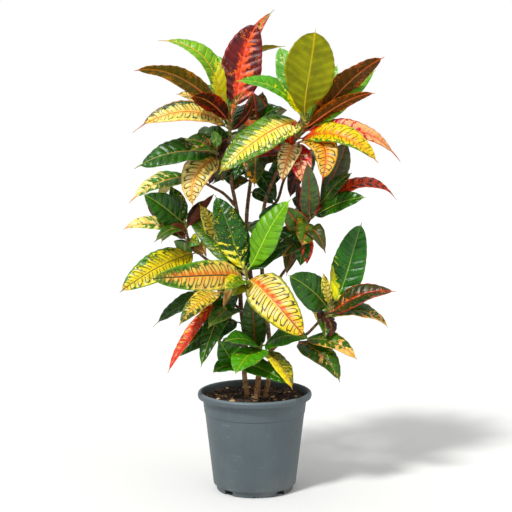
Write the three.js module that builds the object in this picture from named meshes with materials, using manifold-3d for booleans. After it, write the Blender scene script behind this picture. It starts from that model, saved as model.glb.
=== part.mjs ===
// A potted croton: three woody cuttings in one nursery pot, their side shoots, and leathery
// variegated leaves. Millimetres, +Z up, and -Y is the side that the plant is looked at from.
// Sizes are laid out from the pot's axis, and the finished plant is then moved so that the
// origin is under the middle of its whole spread, on the surface that the pot stands on.
import * as THREE from "three";
import { mergeVertices } from "three/addons/utils/BufferGeometryUtils.js";
import Module from "manifold-3d";

const wasm = await Module();
wasm.setup();

// ---- driving dimensions -------------------------------------------------------------------
const POT_AXIS = [-11, -4, 0];
const RIM_RADIUS = 105;
const POT_HEIGHT = 183;
const LIP_HEIGHT = 12;
const LIP_MOUTH_RADIUS = 97.8;
const NECK_RADIUS = 95.6;
const BAND_HEIGHT = 143.5;
const BAND_STEP = 0.9;
const BODY_FOOT_RADIUS = 76.3;
const FOOT_HEIGHT = 11.5;
const FOOT_RADIUS = 69.5;
const FOOT_WALL = 3.2;
const POT_WALL = 1.8;
const POT_FLOOR = 2.6;
const POT_SIDES = 48;
const NOTCH_ANGLES = [42, 138, 222, 318];
const NOTCH_WIDTH = 19;
const NOTCH_HEIGHT = 8.6;
const SMALL_NOTCH_ANGLES = [0, 90, 180, 270];
const SMALL_NOTCH_WIDTH = 4;
const SMALL_NOTCH_HEIGHT = 3;
const DRAIN_COUNT = 8;
const DRAIN_RADIUS = 5;
const DRAIN_CIRCLE = 48;
const CENTRE_DRAIN_RADIUS = 7;

const SOIL_TOP = 172;
const SOIL_DISH = 3;
const STEM_FOOT = 112;
const GAP = 0.3;
const SOCKET_GAP = 0.5;

const STEM_SIDES = 8;
const STEM_STEP = 12;
const PETIOLE_HALF_WIDTH = 1.5;
const PETIOLE_THICKNESS = 2.4;
const BLADE_THICKNESS = 1.0;
const TIP_HALF_WIDTH = 0.7;
const LEAF_STATIONS = [0, 0.09, 0.17, 0.27, 0.38, 0.5, 0.62, 0.74, 0.87, 1];
const BLADE_START = 1;
const LEAF_MIDDLE = 5;

// ---- shoots: points along each stem, its radius at the start and at the growth tip --------
const SHOOTS = {
  left_main: {
    points: [[-14, 6, 112], [-14, 6, 150], [-14.2, 6, 177], [-17, 6, 194], [-19, 8, 219], [-17, 12, 265],
      [-22, 16, 308], [-26, 20, 348], [-26, 25, 430], [-29, 25, 488], [-36, 20, 532], [-42, 12, 565],
      [-46, 4, 624], [-44, 0, 674], [-43, 0, 702]],
    radii: [5.0, 2.8],
  },
  left_upper: { points: [[-43, 9, 578], [-56, 4, 604], [-70, -4, 627]], radii: [2.6, 2.0] },
  left_side: {
    points: [[-35, 21, 522], [-56, 24, 543], [-77, 26, 555], [-100, 26, 568], [-118, 24, 581]],
    radii: [3.0, 2.0],
  },
  left_middle: {
    points: [[-26, 22, 370], [-53, 20, 400], [-89, 18, 424], [-115, 12, 450], [-122, 8, 467], [-127, 6, 495]],
    radii: [3.2, 2.1],
  },
  left_low: { points: [[-25, 19, 330], [-45, 8, 348], [-62, -4, 370]], radii: [2.8, 2.0] },
  foot_left: { points: [[-19, 8, 214], [-24, 0, 227], [-29, -6, 235]], radii: [2.4, 1.8] },
  centre_main: {
    points: [[4, 3, 112], [4, 3, 150], [4.2, 3, 177], [6, 3, 198], [9, 4, 230], [6, 10, 266],
      [1, 28, 328], [-9, 42, 401], [-15, 48, 486], [-10, 46, 547], [-3, 38, 595], [4, 28, 641], [8, 20, 681]],
    radii: [5.8, 2.6],
  },
  front: {
    points: [[6, 11, 268], [-3, -8, 312], [-9, -28, 351], [-13, -42, 384], [-15, -52, 416]],
    radii: [3.4, 2.2],
  },
  foot_front: { points: [[9, 4, 232], [11, -8, 256], [13, -16, 272]], radii: [2.6, 1.9] },
  right_main: {
    points: [[20, 6, 112], [20, 6, 150], [20.2, 6, 177], [24, 8, 193], [29, 10, 234], [28, 12, 265],
      [23, 16, 311], [16, 20, 366], [12, 22, 440], [13, 20, 486], [20, 12, 533], [37, -2, 578],
      [65, -14, 630], [84, -20, 660], [94, -22, 685]],
    radii: [4.6, 2.8],
  },
  right_back: {
    points: [[13, 19, 484], [29, 30, 515], [43, 36, 533], [53, 38, 566], [68, 34, 595], [81, 28, 623]],
    radii: [3.0, 2.0],
  },
  right_side: {
    points: [[22, 17, 325], [41, 12, 381], [61, 2, 413], [73, -4, 430], [82, -8, 451], [92, -12, 484],
      [105, -14, 511], [112, -14, 529]],
    radii: [3.2, 2.0],
  },
  right_low: {
    points: [[28.5, 12, 255], [57, 6, 276], [90, -6, 286], [113, -14, 309], [131, -20, 330], [138, -22, 351]],
    radii: [3.2, 2.2],
  },
};

const STEMS = {
  stem_left: ["left_main", "left_upper", "left_side", "left_middle", "left_low", "foot_left"],
  stem_centre: ["centre_main", "front", "foot_front"],
  stem_right: ["right_main", "right_back", "right_side", "right_low"],
};

// ---- leaf colours: upper side as seen, roughness -------------------------------------------
const FINISHES = {
  lime: [0x9fb52a, 0.42],
  yellow: [0xe3cf5a, 0.45],
  orange: [0xd98f45, 0.45],
  coral: [0xb5402f, 0.42],
  maroon: [0x5a241c, 0.45],
  brown: [0x6f4a22, 0.5],
  olive: [0x7d8420, 0.5],
  pale: [0x9dc08a, 0.45],
  green: [0x2f6d22, 0.38],
  bright: [0x6bb317, 0.4],
  dark: [0x1f3f1c, 0.38],
  red: [0xc93a1e, 0.42],
};

// ---- leaves --------------------------------------------------------------------------------
// name, shoot, seat below the growth tip, tip, way that the upper side faces, width, arch,
// fold in degrees, twist in degrees, where it is widest along the blade, finish
const LEAVES = [
  ["left_crown_leaf_1", "left_main", 15, [-172, -10, 818], [0.1, -0.62, 0.75], 46, 52, 18, 0, 0.52, "lime"],
  ["left_crown_leaf_2", "left_main", 20, [-210, -60, 764], [0.1, 0.75, 0.65], 44, 34, 8, 0, 0.55, "brown"],
  ["left_crown_leaf_3", "left_main", 27, [-109, -95, 718], [0, 0.6, 0.8], 46, 12, 10, 0, 0.55, "maroon"],
  ["left_crown_leaf_4", "left_main", 36, [-215, -50, 656], [-0.1, -0.66, 0.74],
    58, 32, 10, 0, 0.48, "yellow"],
  ["left_crown_leaf_5", "left_main", 3, [6, 30, 852], [-0.12, -0.97, 0.15], 76, -2, 10, 0, 0.52, "coral"],
  ["left_crown_leaf_6", "left_main", 7, [36, 75, 878], [-0.2, -0.9, 0.3], 32, -2, 14, 0, 0.5, "coral"],
  ["left_crown_leaf_7", "left_main", 13, [57, 115, 813], [0.1, 0.6, 0.8], 44, 40, 14, 0, 0.5, "olive"],
  ["right_crown_leaf_1", "right_main", 4, [105, -76, 835], [0.05, 0.97, 0.25], 88, -8, 6, 0, 0.64, "olive"],
  ["right_crown_leaf_2", "right_main", 8, [44, 20, 810], [0.4, -0.9, 0.2], 60, 8, 10, 0, 0.58, "pale"],
  ["right_crown_leaf_3", "right_main", 15, [224, -80, 787], [-0.3, 0.8, 0.5], 56, 14, 10, 0, 0.55, "brown"],
  ["right_crown_leaf_4", "right_main", 21, [207, -105, 725], [-0.1, 0.75, 0.65],
    32, 14, 12, 0, 0.5, "brown"],
  ["right_crown_leaf_5", "right_main", 43, [214, -98, 605], [0.1, -0.75, 0.65],
    54, 34, 14, 0, 0.5, "yellow"],
  ["right_crown_leaf_6", "right_main", 27, [261, -20, 603], [0.05, -0.8, 0.6],
    38, 42, 14, 0, 0.48, "orange"],
  ["right_crown_leaf_7", "right_main", 54, [115, -120, 573], [0.2, -0.95, 0.25],
    50, 26, 12, 0, 0.55, "orange"],
  ["right_crown_leaf_8", "right_main", 60, [88, -74, 565], [0.1, -0.98, 0.2], 46, 8, 14, 0, 0.5, "coral"],
  ["right_crown_leaf_9", "right_main", 21, [-63, -105, 585], [-0.35, -0.8, 0.5],
    74, 20, 8, 0, 0.52, "yellow"],
  ["right_crown_leaf_10", "right_main", 10, [-32, -85, 746], [-0.15, -0.6, 0.8],
    50, 22, 12, 0, 0.5, "bright"],
  ["upper_left_leaf_1", "left_upper", 8, [-212, -60, 593], [-0.15, -0.7, 0.7], 62, 18, 8, 0, 0.52, "green"],
  ["upper_left_leaf_2", "left_upper", 20, [-109, -60, 527], [-0.3, -0.95, 0.1],
    58, 14, 8, 0, 0.5, "yellow"],
  ["upper_left_leaf_3", "left_side", 4, [-226, -20, 529], [-0.2, -0.7, 0.7], 46, 16, 10, 0, 0.48, "pale"],
  ["middle_left_leaf_1", "left_middle", 3, [-198, -45, 548], [-0.4, -0.75, 0.55],
    54, 8, 8, 0, 0.55, "green"],
  ["middle_left_leaf_2", "left_middle", 34, [-236, -30, 483], [-0.1, -0.55, 0.85],
    44, 20, 14, 0, 0.5, "lime"],
  ["middle_left_leaf_3", "left_middle", 64, [-239, -70, 375], [-0.15, -0.85, 0.5],
    66, 13, 6, 0, 0.5, "yellow"],
  ["front_leaf_1", "front", 3, [63, -70, 540], [-0.35, -0.85, 0.35], 56, 12, 8, 0, 0.55, "bright"],
  ["front_leaf_2", "front", 8, [-71, -30, 545], [0.25, -0.92, 0.3], 58, 10, 6, 0, 0.56, "green"],
  ["front_leaf_3", "front", 12, [-101, 0, 528], [0.0, -0.95, 0.3], 48, -14, 8, 0, 0.5, "yellow"],
  ["front_leaf_4", "front", 20, [-179, -150, 410], [-0.1, -0.95, 0.3], 56, 10, 6, 0, 0.48, "orange"],
  ["front_leaf_5", "front", 24, [87, -140, 307], [0.15, -0.98, 0.2], 74, 18, 4, 0, 0.48, "yellow"],
  ["lower_right_leaf_1", "right_low", 14, [59, -70, 406], [-0.25, -0.75, 0.6], 66, 12, 6, 0, 0.5, "green"],
  ["lower_right_leaf_2", "right_low", 3, [192, -25, 495], [-0.1, -0.9, 0.35], 62, -8, 8, 0, 0.52, "green"],
  ["lower_right_leaf_3", "right_low", 19, [251, -60, 375], [0, -0.7, 0.7], 48, 22, 10, 0, 0.5, "dark"],
  ["lower_right_leaf_4", "right_low", 25, [240, -40, 307], [0.05, -0.45, 0.9], 44, 22, 12, 0, 0.5, "green"],
  ["lower_right_leaf_5", "right_low", 84, [183, -70, 254], [0.1, -0.6, 0.8], 46, 18, 10, 0, 0.5, "green"],
  ["lower_right_leaf_6", "right_low", 98, [152, -75, 214], [0.15, -0.65, 0.75], 52, 20, 8, 0, 0.5, "green"],
  ["foot_leaf_1", "foot_front", 2, [98, -70, 291], [0, -0.6, 0.8], 60, 14, 8, 0, 0.5, "green"],
  ["foot_leaf_2", "foot_front", 10, [-34, -115, 237], [-0.25, -0.75, 0.6], 60, 10, 6, 0, 0.5, "bright"],
  ["foot_leaf_3", "foot_front", 15, [67, -95, 206], [0.55, -0.75, 0.3], 44, 10, 16, 0, 0.5, "yellow"],
  ["lower_left_leaf_1", "left_low", 12, [-185, -5, 303], [-0.3, -0.6, 0.75], 46, 14, 18, 0, 0.42, "green"],
  ["lower_left_leaf_2", "left_low", 3, [-133, -95, 320], [-0.25, -0.8, 0.55], 42, 14, 8, 0, 0.5, "yellow"],
  ["lower_left_leaf_3", "left_low", 19, [-154, -90, 234], [-0.5, -0.8, 0.3], 26, 12, 14, 50, 0.62, "red"],
  ["lower_left_leaf_4", "left_main", 400, [-144, -45, 250], [-0.3, -0.75, 0.6], 58, 18, 8, 0, 0.5, "green"],
  ["lower_left_leaf_5", "left_main", 380, [-82, -95, 315], [-0.1, -0.7, 0.7], 46, 14, 8, 0, 0.5, "green"],
  ["middle_right_leaf_1", "right_side", 14, [258, 4, 533], [0.05, -0.55, 0.84], 38, 46, 12, 0, 0.5, "red"],
  ["middle_right_leaf_2", "right_side", 4, [173, -40, 585], [-0.3, -0.8, 0.55], 32, 8, 12, 0, 0.5, "dark"],
  ["middle_right_leaf_3", "right_side", 24, [194, -85, 545], [-0.05, -0.72, 0.69],
    44, 8, 8, 0, 0.55, "green"],
  ["middle_right_leaf_4", "right_side", 29, [90, -108, 609], [0.05, -0.95, 0.3],
    38, 8, 10, 0, 0.45, "dark"],
  ["middle_right_leaf_5", "right_side", 40, [83, -70, 458], [0.1, -0.95, 0.25], 44, 4, 12, 0, 0.5, "dark"],
  ["rear_leaf_1", "left_main", 36, [-95, 140, 735], [-0.2, 0.4, 0.9], 50, 26, 8, 0, 0.5, "green"],
  ["rear_leaf_2", "right_main", 34, [170, 140, 735], [0.2, 0.4, 0.9], 50, 26, 8, 0, 0.5, "yellow"],
  ["rear_leaf_3", "centre_main", 40, [-25, 156, 610], [0, 0.5, 0.9], 50, 26, 8, 0, 0.5, "green"],
  ["rear_leaf_4", "left_side", 18, [-185, 150, 520], [-0.3, 0.5, 0.8], 46, 20, 8, 0, 0.5, "yellow"],
  ["rear_leaf_5", "right_back", 8, [150, 155, 555], [0.3, 0.5, 0.8], 46, 20, 8, 0, 0.5, "dark"],
  ["rear_leaf_6", "centre_main", 210, [20, 158, 430], [0, 0.6, 0.8], 52, 24, 8, 0, 0.5, "green"],
  ["rear_leaf_7", "right_low", 32, [185, 130, 320], [0.2, 0.5, 0.8], 48, 20, 8, 0, 0.5, "green"],
  ["rear_leaf_8", "left_low", 24, [-120, 130, 300], [-0.2, 0.5, 0.8], 48, 20, 8, 0, 0.5, "green"],
];

// ---- helpers -------------------------------------------------------------------------------
const vec = (p) => new THREE.Vector3(...p);
const radians = THREE.MathUtils.degToRad;

/** A mesh with its own plain material. */
function part(name, geometry, color, roughness) {
  const material = new THREE.MeshStandardMaterial({ color, roughness, metalness: 0 });
  const mesh = new THREE.Mesh(geometry, material);
  mesh.name = name;
  return mesh;
}

/** A closed geometry as a solid that can be joined and cut. */
function solid(geometry) {
  const bare = geometry.clone();
  bare.deleteAttribute("normal");
  bare.deleteAttribute("uv");
  const merged = mergeVertices(bare, 1e-4);
  return new wasm.Manifold(new wasm.Mesh({
    numProp: 3,
    vertProperties: new Float32Array(merged.attributes.position.array),
    triVerts: new Uint32Array(merged.index.array),
  }));
}

/** A solid's surface as a geometry. */
function surface(body) {
  const mesh = body.getMesh();
  const geometry = new THREE.BufferGeometry();
  geometry.setAttribute("position", new THREE.BufferAttribute(mesh.vertProperties, 3));
  geometry.setIndex(new THREE.BufferAttribute(mesh.triVerts, 1));
  geometry.computeVertexNormals();
  return geometry;
}

/** A profile of [radius, height] pairs turned about +Z. */
function turned(profile, sides) {
  const points = profile.map(([r, z]) => new THREE.Vector2(r, z));
  return new THREE.LatheGeometry(points, sides).rotateX(Math.PI / 2);
}

/** A box of the given size, centred at `at` and turned about +Z. */
function block(size, at, degrees) {
  return new THREE.BoxGeometry(...size).translate(...at).rotateZ(radians(degrees));
}

/** An upright cylinder between two heights. */
function upright(radius, x, y, low, high, sides) {
  return new THREE.CylinderGeometry(radius, radius, high - low, sides)
    .rotateX(Math.PI / 2)
    .translate(x, y, (low + high) / 2);
}

// ---- pot and soil --------------------------------------------------------------------------
/** Outer radius of the pot's body at a height, between the foot and the neck. */
function bodyRadius(z) {
  const slope = (NECK_RADIUS - BODY_FOOT_RADIUS) / (POT_HEIGHT - LIP_HEIGHT - FOOT_HEIGHT);
  return BODY_FOOT_RADIUS + slope * (z - FOOT_HEIGHT);
}

/** The pot: tapered wall with a stepped band, rolled lip, raised floor and a notched foot. */
function pot() {
  const lipLow = POT_HEIGHT - LIP_HEIGHT;
  const floorTop = FOOT_HEIGHT + POT_FLOOR;
  const wall = turned([
    [0, FOOT_HEIGHT],
    [FOOT_RADIUS - FOOT_WALL, FOOT_HEIGHT],
    [FOOT_RADIUS - FOOT_WALL, 0],
    [FOOT_RADIUS, 0],
    [FOOT_RADIUS + 2.5, FOOT_HEIGHT - 0.6],
    [BODY_FOOT_RADIUS - 1, FOOT_HEIGHT],
    [BODY_FOOT_RADIUS, FOOT_HEIGHT + 1.5],
    [bodyRadius(BAND_HEIGHT) - BAND_STEP, BAND_HEIGHT],
    [bodyRadius(BAND_HEIGHT), BAND_HEIGHT + 0.8],
    [NECK_RADIUS, lipLow],
    [RIM_RADIUS - 2.2, lipLow + 0.3],
    [RIM_RADIUS - 0.4, lipLow + 2.4],
    [RIM_RADIUS, lipLow + 5.5],
    [RIM_RADIUS - 0.8, lipLow + 9.2],
    [RIM_RADIUS - 2.9, POT_HEIGHT - 0.5],
    [RIM_RADIUS - 4.8, POT_HEIGHT],
    [LIP_MOUTH_RADIUS, POT_HEIGHT - 1.2],
    [LIP_MOUTH_RADIUS - 1.6, lipLow + 4],
    [NECK_RADIUS - POT_WALL, lipLow - 4],
    [bodyRadius(floorTop) - POT_WALL, floorTop],
    [0, floorTop],
  ], POT_SIDES);
  let body = solid(wall);
  for (const angle of NOTCH_ANGLES) {
    const size = [NOTCH_WIDTH, 20, NOTCH_HEIGHT * 2];
    body = body.subtract(solid(block(size, [0, -FOOT_RADIUS, 0], angle)));
  }
  for (const angle of SMALL_NOTCH_ANGLES) {
    const size = [SMALL_NOTCH_WIDTH, 20, SMALL_NOTCH_HEIGHT * 2];
    body = body.subtract(solid(block(size, [0, -FOOT_RADIUS, 0], angle)));
  }
  body = body.subtract(solid(upright(CENTRE_DRAIN_RADIUS, 0, 0, 0, floorTop + 5, 16)));
  for (let i = 0; i < DRAIN_COUNT; i++) {
    const angle = (i + 0.5) * (2 * Math.PI / DRAIN_COUNT);
    const x = DRAIN_CIRCLE * Math.cos(angle);
    const y = DRAIN_CIRCLE * Math.sin(angle);
    body = body.subtract(solid(upright(DRAIN_RADIUS, x, y, 0, floorTop + 5, 12)));
  }
  return part("pot", surface(body), 0x67737b, 0.6);
}

/** The soil: fills the pot nearly to its rim, a little dished, with a socket for each cutting. */
function soil() {
  const low = FOOT_HEIGHT + POT_FLOOR + GAP;
  const inside = (z) => bodyRadius(z) - POT_WALL - GAP - 0.5;
  let body = solid(turned([
    [0, low],
    [inside(low), low],
    [inside(SOIL_TOP), SOIL_TOP],
    [inside(SOIL_TOP) * 0.6, SOIL_TOP - SOIL_DISH * 0.7],
    [0, SOIL_TOP - SOIL_DISH],
  ], 36));
  for (const shoots of Object.values(STEMS)) {
    const { points, radii } = SHOOTS[shoots[0]];
    const [x, y, z] = points[0];
    const radius = (radii[0] + SOCKET_GAP) / Math.cos(Math.PI / 16);
    body = body.subtract(solid(upright(radius, x, y, z - GAP, SOIL_TOP + 20, 16)));
  }
  return part("soil", surface(body), 0x3a2416, 0.95);
}

// ---- stems ---------------------------------------------------------------------------------
/** A shoot's centreline. */
function centreline(name) {
  return new THREE.CatmullRomCurve3(SHOOTS[name].points.map(vec), false, "catmullrom", 0.5);
}

/** A shoot's radius at a distance below its growth tip. */
function shootRadius(name, seat, length) {
  const [foot, tip] = SHOOTS[name].radii;
  return tip + (foot - tip) * seat / length;
}

/** A tapered tube along a shoot: a round section swept along it, then drawn in ring by ring. */
function shoot(name) {
  const path = centreline(name);
  const length = path.getLength();
  const steps = Math.max(3, Math.round(length / STEM_STEP));
  const foot = SHOOTS[name].radii[0];
  const round = new THREE.Shape();
  round.absarc(0, 0, foot, 0, 2 * Math.PI);
  const sweep = { steps, bevelEnabled: false, extrudePath: path, curveSegments: STEM_SIDES / 2 };
  const tube = new THREE.ExtrudeGeometry(round, sweep);
  const rings = path.getSpacedPoints(steps);
  const position = tube.attributes.position;
  const point = new THREE.Vector3();
  for (let i = 0; i < position.count; i++) {
    point.fromBufferAttribute(position, i);
    const reach = rings.map((centre) => point.distanceToSquared(centre));
    const ring = reach.indexOf(Math.min(...reach));
    const radius = shootRadius(name, length * (1 - ring / steps), length);
    point.sub(rings[ring]).multiplyScalar(radius / foot).add(rings[ring]);
    position.setXYZ(i, point.x, point.y, point.z);
  }
  return tube;
}

/** A cutting with its side shoots, as one woody piece. */
function stem(name) {
  let body = null;
  for (const each of STEMS[name]) {
    const tube = solid(shoot(each));
    body = body ? body.add(tube) : tube;
  }
  return part(name, surface(body), 0x7a5638, 0.8);
}

// ---- leaves --------------------------------------------------------------------------------
/** Half the blade's width at a share of its length, from the petiole to the drawn-out tip. */
function halfWidth(share, width, widest) {
  const power = Math.log(0.5) / Math.log(widest);
  const swell = Math.sin(Math.PI * Math.min(1, share ** power));
  return width / 2 * Math.max(0, swell) ** (0.8 + 0.5 * (0.6 - widest));
}

/** A leaf's midrib: a point, a direction and a sideways direction at each station. */
function midrib(shootName, seat, tip, face, arch) {
  const path = centreline(shootName);
  const length = path.getLength();
  const share = 1 - seat / length;
  const root = path.getPointAt(share);
  const along = path.getTangentAt(share);
  const reach = vec(tip).sub(root);
  const out = reach.clone().addScaledVector(along, -reach.dot(along)).normalize();
  const start = root.clone().addScaledVector(out, shootRadius(shootName, seat, length) + GAP);
  const chord = vec(tip).sub(start);
  const size = chord.length();
  const straight = chord.clone().normalize();
  const up = vec(face).addScaledVector(straight, -vec(face).dot(straight)).normalize();
  const rise = start.clone().addScaledVector(out, 0.13 * size).addScaledVector(along, 0.1 * size);
  const crest = start.clone().addScaledVector(chord, 0.55).addScaledVector(up, 2.4 * arch);
  const curve = new THREE.CubicBezierCurve3(start, rise, crest, vec(tip));
  const points = LEAF_STATIONS.map((t) => curve.getPoint(t));
  const tangents = LEAF_STATIONS.map((t) => (t === 0 ? out : curve.getTangent(t)));
  const level = (side, k) => side.clone().addScaledVector(tangents[k], -side.dot(tangents[k])).normalize();
  const sides = [];
  sides[LEAF_MIDDLE] = level(straight.clone().cross(up), LEAF_MIDDLE);
  for (let i = LEAF_MIDDLE + 1; i < LEAF_STATIONS.length; i++) sides[i] = level(sides[i - 1], i);
  for (let i = LEAF_MIDDLE - 1; i >= 0; i--) sides[i] = level(sides[i + 1], i);
  return { points, tangents, sides };
}

/** A leaf: a thin slab, three points across at every station, bent along its midrib. */
function leaf([name, shootName, seat, tip, face, width, arch, fold, twist, widest, finish]) {
  const { points, tangents, sides } = midrib(shootName, seat, tip, face, arch);
  const last = LEAF_STATIONS.length - 1;
  const slab = new THREE.BoxGeometry(1, 1, 1, 2, last, 1);
  const position = slab.attributes.position;
  for (let i = 0; i < position.count; i++) {
    const across = position.getX(i) * 2;
    const step = Math.round((position.getY(i) + 0.5) * last);
    const station = LEAF_STATIONS[step];
    const blade = step >= BLADE_START;
    const begin = LEAF_STATIONS[BLADE_START];
    const swell = halfWidth(Math.max(0, (station - begin) / (1 - begin)), width, widest);
    const half = Math.max(step < LEAF_MIDDLE ? PETIOLE_HALF_WIDTH : TIP_HALF_WIDTH, swell);
    const bend = step > BLADE_START ? radians(fold) : 0;
    const thickness = blade ? BLADE_THICKNESS : PETIOLE_THICKNESS;
    const side = sides[step].clone().applyAxisAngle(tangents[step], radians(twist) * (station - 0.5));
    const normal = side.clone().cross(tangents[step]);
    const point = points[step].clone()
      .addScaledVector(side, across * half * Math.cos(bend))
      .addScaledVector(normal, Math.abs(across) * half * Math.sin(bend) + position.getZ(i) * thickness);
    position.setXYZ(i, point.x, point.y, point.z);
  }
  const [color, roughness] = FINISHES[finish];
  return part(name, slab, color, roughness);
}

// ---- the plant -----------------------------------------------------------------------------
const croton = new THREE.Group();
croton.add(pot());
croton.add(soil());
for (const name of Object.keys(STEMS)) croton.add(stem(name));
for (const row of LEAVES) croton.add(leaf(row));
for (const mesh of croton.children) mesh.geometry.translate(...POT_AXIS);

export default croton;
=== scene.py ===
"""A potted croton: a tapered nursery pot, soil, three woody cuttings and their variegated leaves.

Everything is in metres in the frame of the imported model. Sizes in the tables are in millimetres,
laid out from the pot's axis, as they are on the plant itself.
"""

import logging
import math
import random
from dataclasses import dataclass, field
from enum import Enum
from functools import cached_property

import bmesh
import bpy
from mathutils import Matrix, Quaternion, Vector, noise

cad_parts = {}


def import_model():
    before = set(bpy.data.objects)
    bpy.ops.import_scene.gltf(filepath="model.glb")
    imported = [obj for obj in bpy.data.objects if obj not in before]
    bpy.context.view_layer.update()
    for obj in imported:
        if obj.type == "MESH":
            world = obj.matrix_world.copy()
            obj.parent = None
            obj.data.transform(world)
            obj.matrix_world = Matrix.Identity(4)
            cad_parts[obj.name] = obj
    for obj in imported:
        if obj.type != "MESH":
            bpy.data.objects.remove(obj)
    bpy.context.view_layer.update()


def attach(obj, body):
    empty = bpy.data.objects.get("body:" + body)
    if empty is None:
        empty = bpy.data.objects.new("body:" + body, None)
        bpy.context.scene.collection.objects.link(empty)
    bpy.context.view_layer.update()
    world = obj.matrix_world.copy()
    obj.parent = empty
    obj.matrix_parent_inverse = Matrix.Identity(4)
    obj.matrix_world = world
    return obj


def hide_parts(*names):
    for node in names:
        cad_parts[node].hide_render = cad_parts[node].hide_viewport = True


LOG = logging.getLogger("croton")
MM = 0.001
POT_AXIS = Vector((-0.011, -0.004, 0.0))
WELD = 1e-6


# ---- small helpers --------------------------------------------------------------------------
def rgb(code: str) -> tuple[float, float, float, float]:
    """A colour written as on a paint card, such as "7a5638", as linear red, green, blue, alpha."""
    parts = [int(code[i : i + 2], 16) / 255 for i in (0, 2, 4)]
    linear = [c / 12.92 if c <= 0.04045 else ((c + 0.055) / 1.055) ** 2.4 for c in parts]
    return (linear[0], linear[1], linear[2], 1.0)


def smoothstep(low: float, high: float, value: float) -> float:
    """0 below low, 1 above high, and a smooth rise between them."""
    share = min(1.0, max(0.0, (value - low) / (high - low)))
    return share * share * (3 - 2 * share)


def metres(point: tuple[float, float, float]) -> Vector:
    """A point given in millimetres from the pot's axis, in the frame's metres."""
    return Vector(point) * MM + POT_AXIS


def turned(maker: bmesh.types.BMesh, section: list[tuple[float, float]], steps: int) -> None:
    """Spins a section once round the pot's axis, into a closed skin.

    Args:
        maker: the mesh that gets the skin.
        section: radius and height of each point, in millimetres, from the axis back to the axis.
        steps: how many steps the turn takes.
    """
    verts = [maker.verts.new(metres((r, 0, z))) for r, z in section]
    edges = [maker.edges.new(pair) for pair in zip(verts, verts[1:])]
    bmesh.ops.spin(maker, geom=verts + edges, cent=POT_AXIS, axis=(0, 0, 1), angle=math.tau, steps=steps,
                   use_merge=True, use_duplicate=False)
    bmesh.ops.remove_doubles(maker, verts=maker.verts, dist=WELD)


def finished(name: str, maker: bmesh.types.BMesh, materials: list[bpy.types.Material]) -> bpy.types.Object:
    """Turns a bmesh into a named object at the origin.

    Args:
        name: the object's name.
        maker: the mesh, which is freed.
        materials: one per material index.

    Returns:
        The object, linked to the scene and riding on the plant.
    """
    mesh = bpy.data.meshes.new(name)
    maker.to_mesh(mesh)
    maker.free()
    for material in materials:
        mesh.materials.append(material)
    piece = bpy.data.objects.new(name, mesh)
    bpy.context.scene.collection.objects.link(piece)
    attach(piece, "root")
    return piece


# ---- shader maths ---------------------------------------------------------------------------
class Wire:
    """A value in a material's node tree, with the usual arithmetic written as Python."""

    def __init__(self, paint: "Paint", socket: bpy.types.NodeSocket) -> None:
        """Keeps the material and the output socket."""
        self.paint = paint
        self.socket = socket

    def _math(
        self, operation: str, *others: "float | Wire", first: bool = True, clamp: bool = False
    ) -> "Wire":
        """Adds one Math node.

        Args:
            operation: the node's operation.
            others: the other operands.
            first: whether this wire is the first operand.
            clamp: whether the result is held between 0 and 1.

        Returns:
            The node's result.
        """
        operands = [self, *others] if first else [*others, self]
        settings = {"operation": operation, "use_clamp": clamp}
        node = self.paint.node("ShaderNodeMath", settings, dict(enumerate(operands)))
        return Wire(self.paint, node.outputs[0])

    def __add__(self, other: "float | Wire") -> "Wire":
        """The sum."""
        return self._math("ADD", other)

    __radd__ = __add__

    def __sub__(self, other: "float | Wire") -> "Wire":
        """The difference."""
        return self._math("SUBTRACT", other)

    def __rsub__(self, other: float) -> "Wire":
        """The difference, the other way round."""
        return self._math("SUBTRACT", other, first=False)

    def __mul__(self, other: "float | Wire") -> "Wire":
        """The product."""
        return self._math("MULTIPLY", other)

    __rmul__ = __mul__

    def __truediv__(self, other: "float | Wire") -> "Wire":
        """The quotient."""
        return self._math("DIVIDE", other)

    def __rtruediv__(self, other: float) -> "Wire":
        """The quotient, the other way round."""
        return self._math("DIVIDE", other, first=False)

    def __pow__(self, other: "float | Wire") -> "Wire":
        """The power."""
        return self._math("POWER", other)

    def __abs__(self) -> "Wire":
        """The size without its sign."""
        return self._math("ABSOLUTE")

    def fraction(self) -> "Wire":
        """What is left over the whole number below."""
        return self._math("FRACT")

    def above(self, limit: float) -> "Wire":
        """1 where the value is over the limit, else 0."""
        return self._math("GREATER_THAN", limit)

    def most(self, other: "float | Wire") -> "Wire":
        """The larger of the two."""
        return self._math("MAXIMUM", other)

    def held(self) -> "Wire":
        """The value, held between 0 and 1."""
        return self._math("ADD", 0.0, clamp=True)

    def rise(self, low: "float | Wire", high: "float | Wire") -> "Wire":
        """A smooth rise from 0 at low to 1 at high."""
        inputs = {"Value": self, "From Min": low, "From Max": high}
        node = self.paint.node("ShaderNodeMapRange", {"interpolation_type": "SMOOTHSTEP"}, inputs)
        return Wire(self.paint, node.outputs[0])


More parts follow.
